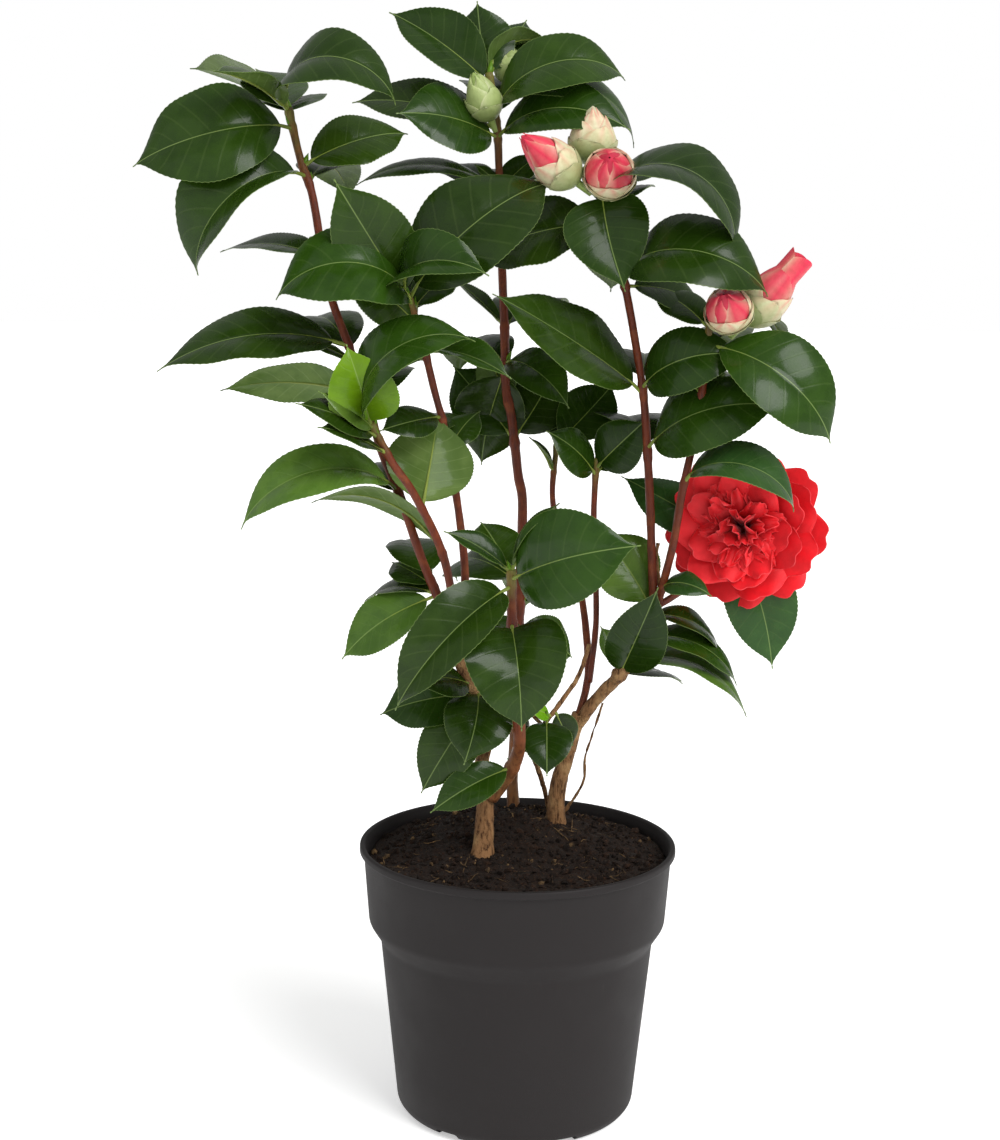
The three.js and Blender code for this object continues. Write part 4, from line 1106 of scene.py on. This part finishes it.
def soil_height(x, y):
    """Height of the potting mix: level at the wall, a low mound towards the back, and crumbly lumps."""
    away = math.hypot(x, y - MOUND_PLACE) / MOUND_REACH
    edge = 1 - min(math.hypot(x, y) / SOIL_REACH, 1) ** 6
    point = Vector((x, y, 0))
    lumps = sum(noise.noise(point * often) * high for often, high in ((0.045, 2.6), (0.16, 1.7), (0.45, 1.0)))
    level = SOIL_LEVEL + 4 * max(y, 0) / SOIL_REACH
    return level + MOUND * math.exp(-away * away) * edge + lumps * (0.45 + 0.55 * edge)


def soil_object(settings):
    inside = wall_at(settings, 7) - settings.wall / MM - 1
    flat = SOIL_LEVEL - 1
    rings = [(r, flat) for r in np.linspace(SOIL_EDGE, 0, 66)]
    soil = turned_object(
        "potting_mix", [(0, 8), (inside, 8), (78.6, 105), (85.6, 119), (SOIL_EDGE, 150), *rings], 170)
    mesh = soil.data
    for vertex in mesh.vertices:
        x, y, z = (vertex.co - CENTRE) / MM
        if z > flat - 0.1:
            vertex.co.z = CENTRE.z + soil_height(x, y) * MM
    set_attribute(mesh, "tint", "FLOAT_COLOR", np.tile((*settings.peat, 1.0), len(mesh.vertices)))
    return soil


def crumb_spray(settings, rng):
    """Loose crumbs of peat and bark lying on the soil."""
    shape = bmesh.new()
    bmesh.ops.create_icosphere(shape, subdivisions=1, radius=1.0)
    ball = np.array([vert.co for vert in shape.verts])
    triangles = np.array([[vert.index for vert in face.verts] for face in shape.faces])
    shape.free()
    spots = np.stack([np.arange(20) % 5, np.arange(20) // 5], -1) / (5, 4)
    place = spots[:, None, :] + np.array([(0.02, 0.02), (0.16, 0.02), (0.02, 0.2)])
    spray = Spray()
    for _ in range(CRUMBS):
        away, bearing = 87.5 * math.sqrt(rng.random()), rng.uniform(0, 2 * math.pi)
        x, y = away * math.cos(bearing), away * math.sin(bearing)
        size = 0.5 + 2.3 * rng.random() ** 2.8
        before = Vector((rng.random(), rng.random(), rng.random())).normalized()
        after = Vector((rng.random() - 0.5, rng.random() - 0.5, 1))
        spin = np.array(before.rotation_difference(after).to_matrix())
        squash = np.array([1, rng.uniform(0.55, 1), rng.uniform(0.4, 0.85)])
        jitter = 1 + np.array([rng.uniform(-0.28, 0.28) for _ in range(len(ball))])[:, None]
        points = (ball * jitter * squash * size) @ spin.T
        centre = place_of((x, y, soil_height(x, y) + size * 0.25))
        tone = rng.random()
        tint = np.array(settings.peat) * (0.5 + 2.2 * tone ** 2)
        if tone > 0.95:
            tint = np.array(settings.fibre) * rng.uniform(0.5, 1.0)
        spray.add((centre + points * MM, triangles, place), (*tint, 1), NO_VEINS)
    return spray


def fibre_spray(settings, rng):
    """Dry bark slivers and root fibres on the soil, most of them near the wall."""
    spray = Spray()
    for _ in range(FIBRES):
        away, bearing = rng.uniform(30, 84), rng.uniform(0, 2 * math.pi)
        x, y = away * math.cos(bearing), away * math.sin(bearing)
        turn, length, bow = rng.uniform(0, math.pi), rng.uniform(4, 15), rng.uniform(-0.2, 0.2)
        share = np.linspace(-0.5, 0.5, 6)
        xs = x + np.cos(turn) * share * length - np.sin(turn) * bow * length * (0.25 - share ** 2)
        ys = y + np.sin(turn) * share * length + np.cos(turn) * bow * length * (0.25 - share ** 2)
        if np.hypot(xs, ys).max() >= 87:
            continue
        tilt = rng.uniform(-0.12, 0.2)
        line = [place_of((a, b, soil_height(a, b) + 0.9 + tilt * s * length))
                for a, b, s in zip(xs, ys, share)]
        thick = rng.uniform(0.15, 0.42)
        tint = np.array(settings.fibre) * rng.uniform(0.35, 1.05)
        spray.add(tube(line, thick * MM * np.array([0.35, 0.9, 1, 1, 0.8, 0.3]), 6), (*tint, 1), NO_VEINS)
    return spray


# ---------------------------------------------------------------- operators

FLOOR_RADIUS = 9.0
# The camera's place in millimetres from the middle of the pot's foot, its tilt down and its roll in degrees.
CAMERA_PLACE = (-12.3, -1182.1, 536.3)
CAMERA_TILT, CAMERA_ROLL = 9.9, 0.6
CAMERA_LENS = 64.33
# Each soft sun: the way to it, the angle that it fills in degrees and its power.
SUNS = {"key_light": ((0.8, -0.85, 1.05), 38, 2.6), "fill_light": ((-0.8, -1.0, 0.5), 70, 0.4)}


class CAMELLIA_OT_pot(bpy.types.Operator):
    """Turn the pot with its rolled rim, skirt and drain channels"""
    bl_idname = "camellia.make_pot"
    bl_label = "Pot"

    def execute(self, context):
        settings = context.scene.camellia_pot
        pot = pot_object(settings)
        pot.data.materials.clear()
        pot.data.materials.append(plastic_material(settings))
        show(pot, "pot_plastic", "pot")
        return {"FINISHED"}


class CAMELLIA_OT_soil(bpy.types.Operator):
    """Fill the pot with potting mix, loose crumbs and dry fibres"""
    bl_idname = "camellia.make_soil"
    bl_label = "Potting mix"

    def execute(self, context):
        settings = context.scene.camellia_pot
        rng = random.Random(SEED)
        material = soil_material()
        soil = soil_object(settings)
        soil.data.materials.append(material)
        show(soil, "potting_mix", "potting_soil")
        show(crumb_spray(settings, rng).piece("peat_crumbs", material, 30), "potting_mix")
        show(fibre_spray(settings, rng).piece("bark_fibres", material), "potting_mix")
        return {"FINISHED"}


class CAMELLIA_OT_wood(bpy.types.Operator):
    """Grow the trunks, limbs and young stems with their bark"""
    bl_idname = "camellia.make_wood"
    bl_label = "Trunks and stems"

    def execute(self, context):
        settings = context.scene.camellia_plant
        rng = random.Random(SEED + 1)
        for kind, slot in (("old", "old_bark"), ("young", "young_bark")):
            names = [stem for stem in STEMS if STEMS[stem]["bark"] == kind]
            made = []
            for k, stem in enumerate(names):
                nodes = sorted({row[0] for owner, rows in FOLIAGE.values() if owner == stem for row in rows})
                made.append(wood_object(stem, dict(STEMS[stem], nodes=nodes), k, len(names), settings, rng))
            piece = joined_objects(made, kind + "_wood", bark_material(kind))
            show(piece, slot, *[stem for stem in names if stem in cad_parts])
        return {"FINISHED"}


class CAMELLIA_OT_foliage(bpy.types.Operator):
    """Grow the leaves of every shoot, with their side buds"""
    bl_idname = "camellia.make_foliage"
    bl_label = "Leaves"

    def execute(self, context):
        settings = context.scene.camellia_plant
        material = leaf_material(settings)
        petiole = np.array(linear(PETIOLE))
        for name, (stem, rows) in FOLIAGE.items():
            rng = random.Random(f"{SEED} {name}")
            spray = Spray()
            for row in rows:
                base = place_of(node_on(stem, row[0]))
                leaf(spray, base, row, settings, rng, petiole * rng.uniform(0.7, 1.1))
                if rng.random() < 0.4:
                    way = unit(unit(np.array(row[1:4], float)) * 0.5 + (0, 0, 1))
                    side_bud(spray, base, way, rng.uniform(6, 10) * MM, settings, rng)
            show(spray.piece("leaves_" + name, material), "leaf", "foliage_" + name)
        return {"FINISHED"}


class CAMELLIA_OT_buds(bpy.types.Operator):
    """Grow the scaly flower buds"""
    bl_idname = "camellia.make_buds"
    bl_label = "Flower buds"

    def execute(self, context):
        settings = context.scene.camellia_bloom
        material = scale_material()
        for name, (base, tip, width, kind) in BUDS.items():
            rng = random.Random(f"{SEED} {name}")
            spray = Spray()
            flower_bud(spray, place_of(base), place_of(tip), width * MM, kind, settings, rng)
            show(spray.piece(name, material, 40), "petal")
        return {"FINISHED"}


class CAMELLIA_OT_bloom(bpy.types.Operator):
    """Open the flower: guard petals round a dome of curled inner petals"""
    bl_idname = "camellia.make_bloom"
    bl_label = "Open flower"

    def execute(self, context):
        settings = context.scene.camellia_bloom
        centre = (np.array(BLOOM_BOX[0]) + np.array(BLOOM_BOX[1])) / 2 + BLOOM_SHIFT
        spray = Spray()
        open_flower(spray, centre, settings, random.Random(SEED + 7))
        show(spray.piece("open_flower", petal_material(settings), 60), "petal", "bloom")
        return {"FINISHED"}


class CAMELLIA_OT_stage(bpy.types.Operator):
    """Set the pale floor, the soft studio light and the camera"""
    bl_idname = "camellia.make_stage"
    bl_label = "Studio"

    def execute(self, context):
        scene = context.scene
        shape = bmesh.new()
        bmesh.ops.create_circle(shape, cap_ends=True, segments=96, radius=FLOOR_RADIUS)
        bmesh.ops.translate(shape, verts=shape.verts, vec=(0, 0, CAD_BOX[0][2] - 0.0005))
        floor = shaped_object("studio_floor", shape)
        floor.data.materials.append(paper_material())
        # The paper behind the plant is white to the eye and throws back half as much light.
        scene.world = bpy.data.worlds.new("studio_white")
        scene.world.use_nodes = True
        tree = scene.world.node_tree
        background = tree.nodes["Background"]
        background.inputs[0].default_value = (1, 1, 1, 1)
        strength = tree.nodes.new("ShaderNodeMapRange")
        strength.inputs[3].default_value = 0.5
        tree.links.new(tree.nodes.new("ShaderNodeLightPath").outputs["Is Camera Ray"], strength.inputs[0])
        tree.links.new(strength.outputs[0], background.inputs[1])
        for name, (way, angle, power) in SUNS.items():
            data = bpy.data.lights.new(name, "SUN")
            data.angle = math.radians(angle)
            data.energy = power
            light = bpy.data.objects.new(name, data)
            light.location = CENTRE + Vector(way) * 2
            light.rotation_euler = (-Vector(way)).to_track_quat("-Z", "Y").to_euler()
            scene.collection.objects.link(light)
        data = bpy.data.cameras.new("camera")
        data.sensor_fit = "VERTICAL"
        data.sensor_height = 36
        data.lens = CAMERA_LENS
        data.clip_end = 40
        camera = bpy.data.objects.new("camera", data)
        camera.location = CENTRE + Vector(CAMERA_PLACE) * MM
        tilt = Matrix.Rotation(math.radians(90 - CAMERA_TILT), 3, "X")
        camera.rotation_euler = (tilt @ Matrix.Rotation(math.radians(CAMERA_ROLL), 3, "Z")).to_euler()
        scene.collection.objects.link(camera)
        scene.camera = camera
        scene.view_settings.view_transform = "Standard"
        return {"FINISHED"}


STEPS = (CAMELLIA_OT_pot, CAMELLIA_OT_soil, CAMELLIA_OT_wood, CAMELLIA_OT_foliage, CAMELLIA_OT_buds,
         CAMELLIA_OT_bloom, CAMELLIA_OT_stage)


class CAMELLIA_PT_panel(bpy.types.Panel):
    bl_label = "Camellia"
    bl_idname = "CAMELLIA_PT_panel"
    bl_space_type = "VIEW_3D"
    bl_region_type = "UI"
    bl_category = "Camellia"

    def draw(self, context):
        for group in (context.scene.camellia_pot, context.scene.camellia_plant, context.scene.camellia_bloom):
            box = self.layout.box()
            for key in type(group).__annotations__:
                box.prop(group, key)
        for step in STEPS:
            self.layout.operator(step.bl_idname)


GROUPS = {"camellia_pot": CamelliaPotSettings, "camellia_plant": CamelliaPlantSettings,
          "camellia_bloom": CamelliaBloomSettings}


def register():
    for group in GROUPS.values():
        bpy.utils.register_class(group)
    for step in (*STEPS, CAMELLIA_PT_panel):
        bpy.utils.register_class(step)
    for key, group in GROUPS.items():
        setattr(bpy.types.Scene, key, bpy.props.PointerProperty(type=group))


def unregister():
    for key in GROUPS:
        delattr(bpy.types.Scene, key)
    for made in (CAMELLIA_PT_panel, *reversed(STEPS), *GROUPS.values()):
        bpy.utils.unregister_class(made)


def main():
    register()
    bpy.ops.camellia.make_stage()
    bpy.ops.camellia.make_pot()
    bpy.ops.camellia.make_soil()
    bpy.ops.camellia.make_wood()
    bpy.ops.camellia.make_foliage()
    bpy.ops.camellia.make_buds()
    bpy.ops.camellia.make_bloom()
    bpy.context.view_layer.update()


if __name__ == "__main__":
    main()
